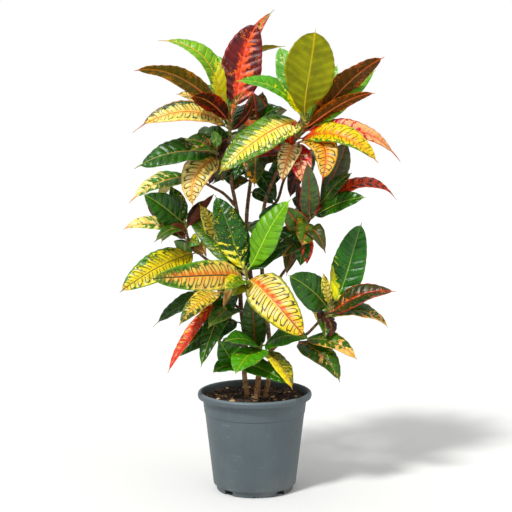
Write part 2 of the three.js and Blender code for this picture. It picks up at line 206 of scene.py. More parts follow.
class Paint:
    """One material under construction."""

    def __init__(self, name: str) -> None:
        """Starts a material with a Principled shader."""
        self.material = bpy.data.materials.new(name)
        self.material.use_nodes = True
        self.tree = self.material.node_tree
        self.shader = self.tree.nodes["Principled BSDF"]

    def node(self, kind: str, settings: dict, inputs: dict) -> bpy.types.Node:
        """Adds any node.

        Args:
            kind: the node's type.
            settings: attributes to set first; "stops" are a ramp's positions and colours.
            inputs: a value, colour or Wire for each socket, by name or number.

        Returns:
            The node.
        """
        node = self.tree.nodes.new(kind)
        for name, value in settings.items():
            if name == "stops":
                ramp = node.color_ramp
                while len(ramp.elements) < len(value):
                    ramp.elements.new(0.5)
                for element, (position, colour) in zip(ramp.elements, value):
                    element.position = position
                    element.color = colour
            else:
                setattr(node, name, value)
        for name, value in inputs.items():
            if isinstance(value, Wire):
                self.tree.links.new(value.socket, node.inputs[name])
            else:
                node.inputs[name].default_value = value
        return node

    def split(self, vector: Wire) -> tuple[Wire, Wire, Wire]:
        """A vector's three numbers."""
        x, y, z = self.node("ShaderNodeSeparateXYZ", {}, {0: vector}).outputs
        return Wire(self, x), Wire(self, y), Wire(self, z)

    def attribute(self, name: str) -> tuple[Wire, Wire, Wire]:
        """The three numbers of a vector that the mesh carries at each point."""
        source = self.node("ShaderNodeAttribute", {"attribute_name": name}, {})
        return self.split(Wire(self, source.outputs["Vector"]))

    def place(self) -> Wire:
        """The point's own place on the piece."""
        return Wire(self, self.node("ShaderNodeTexCoord", {}, {}).outputs["Object"])

    def vector(self, x: "float | Wire", y: "float | Wire", z: "float | Wire") -> Wire:
        """Three numbers as a vector."""
        return Wire(self, self.node("ShaderNodeCombineXYZ", {}, {0: x, 1: y, 2: z}).outputs[0])

    def noise(self, vector: Wire, scale: float, detail: float = 2.0, roughness: float = 0.5) -> Wire:
        """Soft random values from 0 to 1."""
        inputs = {"Vector": vector, "Scale": scale, "Detail": detail, "Roughness": roughness}
        return Wire(self, self.node("ShaderNodeTexNoise", {}, inputs).outputs[0])

    def cells(self, vector: Wire, scale: float) -> Wire:
        """Distance to the nearest of many scattered points."""
        node = self.node("ShaderNodeTexVoronoi", {}, {"Vector": vector, "Scale": scale})
        return Wire(self, node.outputs["Distance"])

    def mix(self, share: "float | Wire", below: "Wire | tuple", above: "Wire | tuple") -> Wire:
        """One colour over another.

        Args:
            share: how much of the upper colour shows.
            below: the lower colour.
            above: the upper colour.

        Returns:
            The mixed colour.
        """
        settings = {"data_type": "RGBA", "clamp_factor": True}
        node = self.node("ShaderNodeMix", settings, {0: share, 6: below, 7: above})
        return Wire(self, node.outputs[2])

    def ramp(self, value: Wire, *stops: tuple[float, tuple]) -> Wire:
        """A colour for each value."""
        return Wire(self, self.node("ShaderNodeValToRGB", {"stops": stops}, {0: value}).outputs[0])

    def richer(self, colour: Wire, saturation: float, value: float) -> Wire:
        """The same colour, more saturated and a little deeper."""
        inputs = {"Saturation": saturation, "Value": value, "Color": colour}
        return Wire(self, self.node("ShaderNodeHueSaturation", {}, inputs).outputs[0])

    def bump(self, height: Wire, strength: float, distance: float) -> Wire:
        """Fine relief."""
        inputs = {"Height": height, "Strength": strength, "Distance": distance}
        return Wire(self, self.node("ShaderNodeBump", {}, inputs).outputs[0])

    def finish(
        self, colour: "Wire | tuple", roughness: "float | Wire", relief: "Wire | None" = None, **plain: float
    ) -> bpy.types.Material:
        """Connects the shader.

        Args:
            colour: the base colour.
            roughness: the roughness.
            relief: the bump, if there is one.
            plain: any other socket, with underscores for spaces, and the value it has all over.

        Returns:
            The material.
        """
        wanted = {"Base Color": colour, "Roughness": roughness}
        if relief:
            wanted["Normal"] = relief
        for name, value in wanted.items():
            if isinstance(value, Wire):
                self.tree.links.new(value.socket, self.shader.inputs[name])
            else:
                self.shader.inputs[name].default_value = value
        for name, value in plain.items():
            self.shader.inputs[name.replace("_", " ")].default_value = value
        return self.material


# ---- leaf finishes --------------------------------------------------------------------------
@dataclass(frozen=True)
class LeafFinish:
    """What a leaf's upper and lower sides look like. Colours are paint card codes.

    Blotches lie on a ground that runs from one shade to another. The cover is how much they take up. Heart,
    lean, base and end draw them to the midrib, to the right half, to the blade's foot and to its tip, and
    feather draws them between the side veins. Streak is how far they follow the side veins instead of being
    round. A word that ends in -ed is how strongly a thing shows. "Based" is the flush on the blade's foot,
    and "ribbed" is the midrib's width.
    """

    ground: str = "3c7a16"
    shade: str = "1f4a10"
    blotch: str = "e8d444"
    blotch_too: str = "f0dc8a"
    cover: float = 0.0
    heart: float = 0.0
    lean: float = 0.0
    base: float = 0.0
    end: float = 0.0
    streak: float = 0.6
    feather: float = 0.0
    squiggled: float = 0.0
    outline: str = "2a4a1c"
    outlined: float = 0.0
    vein: str = "8aa63c"
    veined: float = 0.25
    rib: str = "a8b84a"
    rib_end: str = "8aa63c"
    flush: str = "e0563a"
    flushed: float = 0.0
    flush_lean: float = 0.0
    edge: str = "3c7a16"
    edged: float = 0.0
    fleck: str = "e8d444"
    flecked: float = 0.0
    tip: str = "8a4a2c"
    tipped: float = 0.25
    back: str = "6f8a4a"
    back_rib: str = "a8b06a"
    back_blotch: str = "d8b870"
    back_blotched: float = 0.0
    stalk: str = "8a9a3a"
    gloss: float = 0.34
    relief: float = 0.6
    ribbed: float = 1.0
    based: float = 0.0


class Kind(Enum):
    """The kinds of leaf, named for what stands out on them, with their finishes."""

    LIME = LeafFinish(
        "64a410", "4c900a", "e8e03a", "f2e868", 0.4, 0.1, 0.3, 2.6, -0.1, 0.75, 0.1, 0.5, vein="dcd838",
        veined=0.75, rib="e8b83c", rib_end="d0a030", fleck="eee448", tip="9a6a1c", tipped=0.7,
        back="b4b414", back_rib="e0c83c", stalk="c8c440")
    BROWN_BACK = LeafFinish(
        "2c4410", "1c2c0a", "d8702c", "e8803a", 0.3, 0.3, squiggled=0.5, vein="8a4a24", rib="e0603a",
        fleck="e0b040", back="603c0c", back_rib="d8602c", back_blotch="cc7038", back_blotched=0.6,
        stalk="d0702c", ribbed=1.3)
    KHAKI_BACK = LeafFinish(
        "2c4410", "1c2c0a", "d8702c", "e8803a", 0.3, 0.3, squiggled=0.5, vein="8a4a24", rib="e0603a",
        fleck="e0b040", back="6a5a0c", back_rib="d88040", back_blotch="d89440", back_blotched=0.6,
        stalk="d0702c", gloss=0.38, ribbed=1.3)
    MAROON_BACK = LeafFinish(
        "4a1c10", "2a0c08", "c83a1e", "e0582c", 0.3, 0.3, vein="8a2c18", rib="e06038", back="3c1a06",
        back_rib="c0582c", back_blotch="a82c14", back_blotched=0.8, stalk="b04a28", gloss=0.38)
    OLIVE_BACK = LeafFinish(
        "4a7014", "2c5010", "d8c83c", "e0d860", 0.2, 0.2, vein="8a8c14", rib="c8b82c", back="909200",
        back_rib="c4ac14", back_blotch="6c6a02", back_blotched=0.3, stalk="b4ac34", gloss=0.38)
    GOLD = LeafFinish(
        "f4dc74", "f4e48c", "2a5238", "1e4630", 0.27, -0.45, 0.55, 0, 0.1, 0.35, -0.1, 0, "2c5a40", 0.7,
        vein="b84c2c", veined=0.5, rib="cc4c2c", rib_end="c45c2c", flush="f0a060", flushed=0.35,
        edge="e08c58", edged=0.6, tip="3c6a50", tipped=0.7, back="d8c868", back_rib="d88848",
        stalk="b8a83c")
    CORAL = LeafFinish(
        "661414", "340a0c", "e4542c", "f07c4c", 0.38, 0.7, 0.5, 0.25, 0, 0.6, 0.1, 0.6, vein="7c1c1c",
        veined=0.55, rib="e46440", rib_end="e0643c", flush="dc3428", flushed=0.85, edge="9c1818",
        edged=0.55, fleck="e8703c", tip="5a1816", back="7a2c24", back_rib="e07850", stalk="d8703c",
        gloss=0.36, relief=1.2, ribbed=1.2)
    CORAL_PALE = LeafFinish(
        "c04c30", "7a2c1c", "e88050", "f0a070", 0.5, 0.4, squiggled=0.3, vein="a8402c", rib="f09068",
        edge="9c3c30", edged=0.5, fleck="4c241c", tip="8a3428", back="b86048", back_rib="e89070",
        stalk="7c6c30")
    OLIVE = LeafFinish(
        "84880c", "5c6408", "c8a82c", "d8b83c", 0.25, 0.1, squiggled=0.3, vein="a89c24", rib="c0a030",
        fleck="c8b83c", tip="8a6a2a", back="a4981c", back_rib="b8a038", stalk="a8a03c")
    PALE = LeafFinish(
        "6fae48", "4c9434", "c4dc8c", "dce8a8", 0.42, 0.1, squiggled=0.4, vein="b0d07c", veined=0.5,
        rib="d0dc8a", fleck="e4e890", tip="7ca04a", back="98c070", back_rib="cce0a0", stalk="c8d850",
        gloss=0.38)
    GOLD_RED = LeafFinish(
        "f0c840", "ecd454", "3a7a24", "5a8c24", 0.24, -0.5, 0.35, 0, 0, 0.5, 0, 0.2, "4a5c20", 0.55,
        vein="c8942c", veined=0.4, rib="d8582c", rib_end="d8a038", flush="cc2c14", flushed=0.6,
        edge="4c8428", edged=0.5, tip="8a5a2c", back="d8a838", back_rib="dc7840", stalk="d05030",
        based=0.85)
    PINK_GOLD = LeafFinish(
        "f0b47c", "f0c08c", "cc2c3c", "b41c18", 0.52, 0.1, 0.2, 1.1, 0, 0.75, 0.5, vein="d87c50",
        veined=0.5, rib="d84830", rib_end="d87848", flush="c4281c", flushed=0.3, edge="c03828", edged=0.9,
        tip="6c1c14", tipped=1, back="b83418", back_rib="d85838", stalk="c43c24", based=0.7)
    ORANGE_VEIN = LeafFinish(
        "f0b450", "e8c468", "3c5420", "2c4418", 0.22, -0.3, 0.1, 0, 0, 0.4, 0, 0.35, "2c2a10", 1,
        vein="5c2414", veined=0.6, rib="cc3c20", rib_end="c05030", flush="e47838", flushed=0.5,
        edge="7c4c2c", edged=0.6, fleck="3c4c18", tip="8a3c24", back="d8a468", back_rib="d86a44",
        stalk="d8683c", ribbed=1.4)
    CREAM = LeafFinish(
        "ffe8b0", "ffd498", "4c7030", "3a5c24", 0.2, -0.3, 0.3, 0, 0.1, 0.5, 0, 0.3, "30401c", 0.85,
        rib="dc8c48", rib_end="d07840", flush="ec8848", flushed=0.6, edge="94843c", edged=0.5,
        fleck="4c5c20", tip="c05840", back="e0c890", back_rib="dca068", stalk="d89048")
    PINK_CREAM = LeafFinish(
        "dc3840", "c42c34", "f0a484", "f4c894", 0.42, 0.1, -0.2, -0.5, 0.5, 0.7, 0.1, 0, "8c1828", 0.7,
        vein="b02c30", veined=0.45, rib="d8302c", rib_end="c43c38", edge="b83c34", edged=0.5,
        fleck="2c1c14", flecked=0.35, tip="a84434", back="c87860", back_rib="d85848", stalk="d0502e")
    YELLOW_HEART = LeafFinish(
        "3c8418", "2a6c14", "f4e068", "f6ea94", 0.58, 0.9, -0.6, 0.3, -0.2, 0.6, 0.1, 0.55, "1e4410", 0.7,
        vein="e0b050", veined=0.35, rib="dc5428", rib_end="7ca038", flush="f0b050", flushed=0.5,
        edge="3c7c18", edged=0.2, fleck="e8e03c", flecked=0.6, tip="d8702c", tipped=0.4, back="9ab05a",
        back_rib="c8a860", stalk="d8b050", relief=0.7, ribbed=1.6)
    GREEN_GOLD = LeafFinish(
        "4c9c24", "348418", "f0dc14", "ece038", 0.42, 0.2, 0.1, 0.95, -0.4, 0.75, 0, 0.55, vein="a8c848",
        veined=0.5, rib="ccd440", rib_end="90c040", fleck="ecdc28", flecked=0.2, tip="5a9a24",
        back="a8bc50", back_rib="c8cc70", stalk="dcd43c")
    GREEN_FLECK = LeafFinish(
        "346c10", "22540c", "ecdc48", "f2e878", 0.28, 0.2, 0.1, 0.3, 0, 0.8, 0, 0.7, rib="b86840",
        rib_end="7c9030", edge="88a038", edged=0.25, fleck="e4d43c", flecked=0.4, tip="4c6c20",
        back="6c8a40", back_rib="b0a86a", stalk="a88a48")
    BRIGHT_FLECK = LeafFinish(
        "489818", "327c10", "f0e070", "f6ecac", 0.2, 0.2, 0.35, 0.1, 0, 0.85, 0, 0.5, veined=0.35,
        rib="c8a034", rib_end="8aa83c", fleck="ece04c", flecked=0.2, tip="5a9020", back="88aa5c",
        back_rib="b8b870", stalk="a0a048")
    YELLOW_ORANGE = LeafFinish(
        "f4e09c", "ecd070", "3a5c30", "2c4c24", 0.2, -0.2, 0.1, -0.1, 0.2, 0.35, 0, 0.3, "20280f", 1,
        vein="2c3014", veined=0.7, rib="d84c28", rib_end="d89840", flush="e48440", flushed=0.4,
        edge="c07040", edged=0.5, fleck="34481c", tip="c07040", back="dcc088", back_rib="dc8454",
        stalk="d86c44", ribbed=1.3)
    CREAM_GREEN = LeafFinish(
        "3c7c18", "286410", "f0d480", "f4e4a8", 0.42, 0.1, 0.15, -0.2, 0.4, 0.95, 0, 0.6, rib="dc9850",
        rib_end="e09850", edge="b0b860", edged=0.45, fleck="e8dc74", flecked=0.35, tip="a8602c", tipped=0.8,
        back="98aa64", back_rib="c8b078", stalk="a8944c")
    GREEN = LeafFinish(
        "225a0a", "123c04", "e0d440", "f0e878", 0.04, 0.1, vein="5c8c2c", veined=0.35, rib="a89c40",
        rib_end="6c8c2c", flecked=0.12, tip="4c6c20", back="5c8038", back_rib="a0a860", stalk="8c8c3c",
        gloss=0.2, relief=1.4)
    GREEN_CREAM = LeafFinish(
        "225a0a", "123c04", "e4c49c", "e0a880", 0.12, 0.1, 0.6, 1.3, 0, 0.4, vein="4c8424", veined=0.3,
        rib="c07858", rib_end="7c9438", fleck="dcd438", flecked=0.4, tip="4c5c20", tipped=0.5,
        back="5c8038", back_rib="a0a860", stalk="a86c44", gloss=0.27, relief=1.4)
    FRESH = LeafFinish(
        "30700e", "205606", "e0d440", "f0e878", 0.05, 0.1, vein="74a83c", veined=0.4, rib="a0a83c",
        rib_end="84a83c", flecked=0.15, tip="6c8c2c", back="74984c", back_rib="a8b068", stalk="8c9c3c",
        gloss=0.24, relief=1.3)
    RUST = LeafFinish(
        "7c3c14", "5c280c", "c87c34", "5c2c10", 0.3, 0.2, vein="6c3014", veined=0.4, rib="8c4420",
        rib_end="6c3418", tip="5c2c10", back="74380f", back_rib="b8703c", stalk="8c5030", gloss=0.5)
    GREEN_PATCH = LeafFinish(
        "286c18", "184e10", "e4e020", "ecec50", 0.12, -0.2, -0.8, 1.3, -0.3, 0.6, 0, 0.1, vein="5c943c",
        veined=0.4, rib="a0b048", rib_end="709440", edge="609038", edged=0.3, fleck="e0dc38", flecked=0.15,
        tip="4c6c24", back="84a460", back_rib="acb47c", stalk="a09c44", gloss=0.2, relief=1.4)
    YELLOW_DARK = LeafFinish(
        "ecd84c", "e0c830", "3c7420", "4c8424", 0.3, -0.5, 0.15, 0, 0.2, 0.7, 0, 0.75, "1c400c", 0.8,
        vein="24440f", veined=0.5, rib="3c4c18", rib_end="30401a", flush="f0c040", flushed=0.3,
        edge="4c8420", edged=0.7, fleck="3c6c18", flecked=0.3, tip="d8802c", tipped=0.6, back="c8c464",
        back_rib="a8a850", stalk="a8a844")
    ORANGE_PINK = LeafFinish(
        "f0c070", "ecd470", "3c7020", "508428", 0.26, -0.45, 0.25, -0.6, 0.5, 0.65, 0, 0.6, "2c4c18", 0.85,
        vein="a8582c", veined=0.5, rib="24340c", rib_end="30401a", flush="e86c3c", flushed=0.9,
        flush_lean=0.5, edge="74a030", edged=0.5, fleck="e0c430", flecked=0.25, tip="a8a03c", back="d8b078",
        back_rib="b88454", stalk="a4a83c", ribbed=1.3)
    BIG_YELLOW = LeafFinish(
        "f3dc8c", "f0d264", "ecc828", "f0d040", 0.22, -0.5, 0.1, -0.3, 0.6, 0.4, 0, 0.25, "24340c", 1,
        vein="5c4418", veined=0.5, rib="d87c24", rib_end="9c4820", flush="e44c34", flushed=1,
        flush_lean=-0.85, edge="3c6c24", edged=0.75, fleck="e0c024", flecked=0.5, tip="e0a828", tipped=0.7,
        back="dccc84", back_rib="d8a060", stalk="c8b43c", ribbed=1.5)
    BRIGHT = LeafFinish(
        "5e9e08", "4a8a04", "a8d838", "b8e050", 0.05, vein="b4d850", veined=0.5, rib="b4d83c",
        rib_end="98cc28", tip="a8d830", tipped=0.3, back="98bc50", back_rib="bcd078", stalk="b0cc44",
        gloss=0.3, relief=1.6)
    DARK_YELLOW = LeafFinish(
        "255c14", "143c0c", "ecdc28", "f0e878", 0.22, 0, -0.4, 0.9, -0.15, 0.7, 0.3, 0.55, vein="2c5c28",
        veined=0.3, rib="7c8c2c", rib_end="4c6c34", fleck="e8d82c", flecked=0.45, tip="2c5424",
        back="6c8c58", back_rib="9ca468", stalk="90883c", gloss=0.22, relief=1.4)
    YELLOW_DASH = LeafFinish(
        "f8e878", "f0da50", "24481a", "305c20", 0.26, -0.2, 0.2, 0, 0.2, 0.9, 0, 0.5, "20300f", 0.9,
        vein="5c6420", veined=0.4, rib="d0b84c", rib_end="b8a444", edge="4c7428", edged=0.45,
        fleck="30481a", flecked=0.35, tip="7c8c3c", back="ccc078", back_rib="c8b468", stalk="b8a850")
    DARK_RED = LeafFinish(
        "1e3c14", "12280c", "e08060", "ecb080", 0.3, 0.2, -0.2, 0.2, 0, 0.8, 0.1, 0.5, vein="4c3420",
        veined=0.3, rib="d83c28", rib_end="c4342a", flush="c83424", flushed=0.15, edge="c03024", edged=0.6,
        fleck="e0803c", flecked=0.5, tip="b85038", tipped=0.5, back="54382c", back_rib="c05844",
        stalk="b84c34", gloss=0.28)
    GREEN_TIP = LeafFinish(
        "2c6014", "1a440c", "ecc078", "f0a868", 0.3, 0, 0.2, -0.2, 0.6, 0.7, 0, 0.5, rib="9c9c44",
        rib_end="c09c44", edge="d8a04c", edged=0.6, fleck="dcc44c", flecked=0.25, tip="e8a838", tipped=1,
        back="6e8650", back_rib="a09c60", stalk="848438", gloss=0.28)
    GREEN_PINK = LeafFinish(
        "265612", "18400c", "e8b880", "e47c68", 0.3, 0.3, 0.35, 0.2, 0.1, 0.8, 0, 0.4, veined=0.2,
        rib="a87c48", rib_end="7c8038", edge="a87c4c", edged=0.25, fleck="d8dc44", flecked=0.25,
        tip="a07844", back="78845c", back_rib="b09470", stalk="987048", gloss=0.28)
    HALF_YELLOW = LeafFinish(
        "24540c", "163e08", "ecdc50", "e8dc3c", 0.38, 0, 2.2, 0, 0, 0.6, 0, 0.7, "c8a824", 0.5,
        vein="c8a834", veined=0.4, rib="d88c30", rib_end="d8a044", edge="c8b83c", edged=0.35,
        fleck="e4d028", flecked=0.3, tip="b8a040", back="a4a460", back_rib="c8a460", stalk="c88c48")
    DARK_GREEN = LeafFinish(
        "1c4a0a", "103206", "d0c03c", "dcb048", 0.06, 0.1, squiggled=0.15, vein="34601c", veined=0.3,
        rib="7c8c3c", rib_end="4c6c28", fleck="c8b438", flecked=0.12, tip="34501c", back="4c6c34",
        back_rib="8c985c", stalk="747834", gloss=0.2, relief=1.4)
    YELLOW_PINK = LeafFinish(
        "f8e070", "f4d450", "3c6c24", "2c5c1c", 0.22, -0.3, 0.1, -0.4, 0.6, 0.5, 0, 0.5, "2c4818", 0.9,
        vein="b87c44", veined=0.4, rib="d87c48", rib_end="b08c44", flush="f0a070", flushed=0.15,
        edge="c08450", edged=0.4, fleck="3c6420", tip="3c6c24", tipped=0.9, back="dcc08c",
        back_rib="dc9870", stalk="d88c5c")
    RED_ORANGE = LeafFinish(
        "e44c28", "d03018", "ec9850", "f0b058", 0.42, 0.1, 0.35, 0.1, -0.2, 0.8, 0, 0.5, "4c1c14", 0.4,
        vein="a82414", veined=0.4, rib="d44028", rib_end="c42c18", edge="b02c1c", edged=0.4, fleck="34180f",
        flecked=0.25, tip="dc1810", tipped=0.9, back="d8583c", back_rib="e88058", stalk="d04c2c")
    RED_BARS = LeafFinish(
        "f04c18", "e03c10", "241808", "34240c", 0.24, -0.1, 0.2, -0.1, 0.1, 0.5, 1.1, 0, "28140a", 0.5,
        vein="7c240c", veined=0.4, rib="e0562c", rib_end="d84824", edge="d03c1c", edged=0.5, tip="8c2410",
        back="b84428", back_rib="d86848", stalk="c84828")
    DARK_FLECK = LeafFinish(
        "285414", "183c0c", "d8903c", "d06c48", 0.16, 0.1, 0.3, 0.1, 0.1, 0.8, 0, 0.4, vein="3c5820",
        veined=0.3, rib="8c7c38", rib_end="647434", edge="84482a", edged=0.3, fleck="d8b440", flecked=0.45,
        tip="5c4c24", back="4c5c30", back_rib="94805c", stalk="84683c", gloss=0.27, relief=1)
    MAROON_FLECK = LeafFinish(
        "3c3414", "28200e", "d8a834", "d88434", 0.2, 0.2, 0.1, 0.2, 0, 0.8, 0, 0.6, rib="b0442c",
        rib_end="8c3c28", edge="8c3424", edged=0.3, fleck="d8b43c", flecked=0.5, tip="4c2c1c",
        back="4c2c1c", back_rib="a8583c", stalk="a0502f")
    RED_EDGE = LeafFinish(
        "4e6c3c", "405838", "c8582c", "e0a040", 0.12, 0.1, 0.1, 0.2, squiggled=0.1, vein="5c6c34",
        veined=0.5, rib="b4402c", rib_end="a03c34", edge="a03440", edged=0.75, fleck="e0a030", flecked=0.45,
        tip="8c4434", back="7a5a44", back_rib="c06450", stalk="a8a040", gloss=0.42)
    GREEN_ORANGE = LeafFinish(
        "4c6c24", "34581c", "e09040", "e0b85c", 0.3, 0.2, 0.1, 0.2, 0.1, 0.8, 0.1, 0.6, veined=0.3,
        rib="c04028", rib_end="b84830", edge="c03c2c", edged=0.6, fleck="e0b040", flecked=0.35,
        tip="a0503c", back="6c6440", back_rib="c06c50", stalk="b0783c")
    DARK_OLIVE = LeafFinish(
        "3c4812", "26300c", "b06c24", "c8882c", 0.18, 0.2, squiggled=0.4, vein="44481a", veined=0.3,
        rib="a8502c", rib_end="8c4c28", edge="84382c", edged=0.3, fleck="c88830", flecked=0.25,
        tip="4c3c1c", back="4c4a1c", back_rib="94603c", stalk="805c34")
    MAROON = LeafFinish(
        "30160a", "1c0e08", "a83418", "c85028", 0.26, 0.3, 0, 0.2, 0, 0.8, 0, 0.4, vein="4c1c10",
        veined=0.35, rib="b04428", rib_end="903824", edge="7c241c", edged=0.4, fleck="c86c30", flecked=0.2,
        tip="5c1c14", back="543020", back_rib="a85a3c", stalk="a0502c")
    DARK_ORANGE = LeafFinish(
        "263c10", "182c0a", "e07c34", "d8903c", 0.2, 0.1, 0.3, -0.2, 0.4, 0.4, 0, 0.25, rib="8c6030",
        rib_end="a86c34", edge="7c4c24", edged=0.3, fleck="d8b044", flecked=0.3, tip="d8b848", tipped=0.7,
        back="4c5428", back_rib="a07048", stalk="94603a")
    DARK_PINK = LeafFinish(
        "1e4212", "122e0c", "ec7058", "f09078", 0.14, 0.4, 0.3, 0.2, 0, 0.7, 0, 0.2, veined=0.2,
        rib="9c3c2c", rib_end="8c3c2c", fleck="c8b840", flecked=0.3, tip="5c3c24", back="54643c",
        back_rib="a05c4c", stalk="8c4c34")
    LIME_DARK = LeafFinish(
        "5c801c", "3c6414", "c8bc3c", "d0c44c", 0.4, 0, 0.6, 0.1, 0, 0.7, 0, 0.4, veined=0.3, rib="b88c3c",
        rib_end="98903c", flecked=0.2, tip="6c5c2c", back="94a058", back_rib="b8a468", stalk="a89444")
    PINK_STRIPE = LeafFinish(
        "24401c", "183014", "e0a088", "e06444", 0.48, 0.5, 0.2, 0.1, 0, 0.9, 0.2, 0.5, vein="dcc048",
        veined=0.5, rib="e08c64", rib_end="d07858", edge="c04430", edged=0.4, fleck="e0cc4c", tip="8c4434",
        back="7c6854", back_rib="c08c78", stalk="b86c4c")
    DEAD = LeafFinish(
        "b08a54", "84602f", "d8b880", "6c4c30", 0.4, squiggled=0.4, vein="74542f", veined=0.6, rib="8c6840",
        rib_end="7c5c3c", fleck="5c4028", flecked=0.4, tip="6c4c30", back="94744c", back_rib="8c6c4c",
        stalk="8c6c48", gloss=0.75, relief=0.8)


class UpperSide:
    """The upper side of one kind of leaf, painted in layers over patterns that the layers share.

    Side and far are centimetres across and along the blade, spread and off are distances from the midrib.
    Order counts the side veins. One cell lies between two of them: 0 in its middle, 1 on the veins.
    """

    BLEMISH = rgb("4a3818")

    def __init__(self, paint: Paint, look: LeafFinish) -> None:
        """Lays out the patterns.

        Args:
            paint: the material.
            look: the kind's finish.
        """
        self.paint = paint
        self.look = look
        self.across, self.along, self.seed = paint.attribute("place")
        self.side, self.far, count = paint.attribute("reach")
        self.spread = abs(self.across)
        self.off = abs(self.side)
        right = self.across.above(0.0)
        self.flat = paint.vector(self.side, self.far, self.seed * 3 + right * 5)
        self.order = count + right * 0.5
        self.cell = abs(self.order.fraction() - 0.5) * 2
        along_veins = paint.vector(self.order * 1.6, self.off * 0.6, self.seed * 7 + right * 3)
        self.streaks = paint.noise(along_veins, 1.3, 4, 0.62)
        self.spots = paint.noise(self.flat, 1.9, 3, 0.6)
        self.grain = paint.noise(self.flat, 9, 3, 0.6)
        self.tone = paint.noise(self.flat, 0.55, 3)

    def blotched(self) -> Wire:
        """The ground's two shades with the blotches on them."""
        paint, look = self.paint, self.look
        field = self.streaks * look.streak + self.spots * (1 - look.streak)
        reach = (
            (field - 0.5) * 1.7
            + (0.45 - self.spread) * look.heart
            + self.across * look.lean * 0.5
            + (0.5 - self.along) * look.base
            + (self.along - 0.5) * look.end
            + (0.5 - self.cell) * look.feather
            + (look.cover - 0.5) * 1.1
        )
        colour = paint.mix(self.tone.rise(0.34, 0.66), rgb(look.ground), rgb(look.shade))
        colour = paint.mix((1 - self.cell) * 0.12, colour, rgb(look.vein))
        patches = paint.noise(paint.vector(self.order, self.off, self.seed * 11), 0.9, 3).rise(0.4, 0.6)
        two_tone = paint.mix(patches, rgb(look.blotch), rgb(look.blotch_too))
        return paint.mix(reach.rise(-0.012, 0.022), colour, two_tone)

    def squiggled(self, colour: Wire) -> Wire:
        """Thin crooked lines in the flecks' colour."""
        knots = self.paint.noise(
            self.paint.vector(self.side * 1.2, self.far * 1.2, self.seed * 13), 2.1, 2, 0.55)
        thread = 1 - abs(knots - 0.5).rise(0.012, 0.04)
        limit = 0.66 - self.look.squiggled * 0.2
        where = (self.streaks * 0.5 + self.tone * 0.5).rise(limit, limit + 0.05)
        return self.paint.mix(thread * where, colour, rgb(self.look.fleck))

    def outlined(self, colour: Wire) -> Wire:
        """Dark broken rings, one in each cell."""
        lobe = (self.cell / (0.5 + self.spots * 0.24)) ** 3
        ring = lobe + (self.spread / (0.76 + (self.streaks - 0.5) * 0.8)) ** 7
        line = 1 - abs(ring - 1).rise(0.22, 0.9)
        limit = 0.62 - self.look.outlined * 0.26
        broken = (self.spots * 0.8 + self.grain * 0.35).rise(limit, limit + 0.1)
        return self.paint.mix(line * broken * self.spread.rise(0.04, 0.16), colour, rgb(self.look.outline))

    def veined(self, colour: Wire) -> Wire:
        """The side veins, which fade before the edge."""
        line = self.cell.rise(0.87, 0.98) * (1 - self.spread.rise(0.6, 0.95))
        return self.paint.mix(line * self.look.veined, colour, rgb(self.look.vein))

    def flecked(self, colour: Wire) -> Wire:
        """Small dots that follow the side veins."""
        dots = self.paint.noise(
            self.paint.vector(self.order * 1.6, self.off * 1.6, self.seed * 17), 2.6, 2, 0.7)
        limit = 0.74 - self.look.flecked * 0.18
        return self.paint.mix(dots.rise(limit, limit + 0.03) * 0.92, colour, rgb(self.look.fleck))

    def flushed(self, colour: Wire) -> Wire:
        """The warm flush along the midrib, on both halves or more on one."""
        look, along = self.look, self.along
        depth = (1 - self.off.rise(0.05, 1.3)) * (0.4 + self.cell * 0.8)
        depth = depth * along.rise(0.02, 0.2) * (1 - along.rise(0.7, 0.97))
        if look.flush_lean:
            way = -1.0 if look.flush_lean > 0 else 1.0
            depth = depth * (1 - (self.across * way).rise(-0.05, 0.1) * abs(look.flush_lean))
        depth = (depth * (0.4 + self.streaks * 1.2)).held()
        return self.paint.mix(depth * look.flushed, colour, rgb(look.flush))

    def based(self, colour: Wire) -> Wire:
        """The flush on the blade's foot."""
        foot = 1 - (self.along + (self.streaks - 0.5) * 0.5 + (self.cell - 0.5) * 0.06).rise(0.24, 0.34)
        return self.paint.mix(foot * self.look.based, colour, rgb(self.look.flush))

    def edged(self, colour: Wire) -> Wire:
        """The rim, uneven in width."""
        rim = (self.spread + (self.streaks - 0.5) * 0.2 + (self.spots - 0.5) * 0.2).rise(0.86, 0.93)
        return self.paint.mix(rim * self.look.edged, colour, rgb(self.look.edge))

    def tipped(self, colour: Wire) -> Wire:
        """The tip, and a few brown blemishes all over the blade."""
        tip = (self.along + (self.spots - 0.5) * 0.1).rise(0.9, 0.98)
        colour = self.paint.mix(tip * self.look.tipped, colour, rgb(self.look.tip))
        blemishes = self.paint.noise(self.flat, 2.2, 2).rise(0.79, 0.83)
        return self.paint.mix(blemishes * 0.5, colour, self.BLEMISH)

    def ribbed(self, colour: Wire) -> Wire:
        """The midrib, over everything."""
        look = self.look
        rib_colour = self.paint.mix(self.along, rgb(look.rib), rgb(look.rib_end))
        rib = 1 - self.off.rise(0.05 * look.ribbed, 0.14 * look.ribbed)
        return self.paint.mix(rib * 0.92, colour, rib_colour)

    def colour(self) -> Wire:
        """All layers, from the ground to the midrib."""
        look = self.look
        colour = self.blotched()
        if look.squiggled:
            colour = self.squiggled(colour)
        if look.outlined:
            colour = self.outlined(colour)
        colour = self.veined(colour)
        if look.flecked:
            colour = self.flecked(colour)
        if look.flushed:
            colour = self.flushed(colour)
        if look.based:
            colour = self.based(colour)
        if look.edged:
            colour = self.edged(colour)
        return self.ribbed(self.tipped(colour))


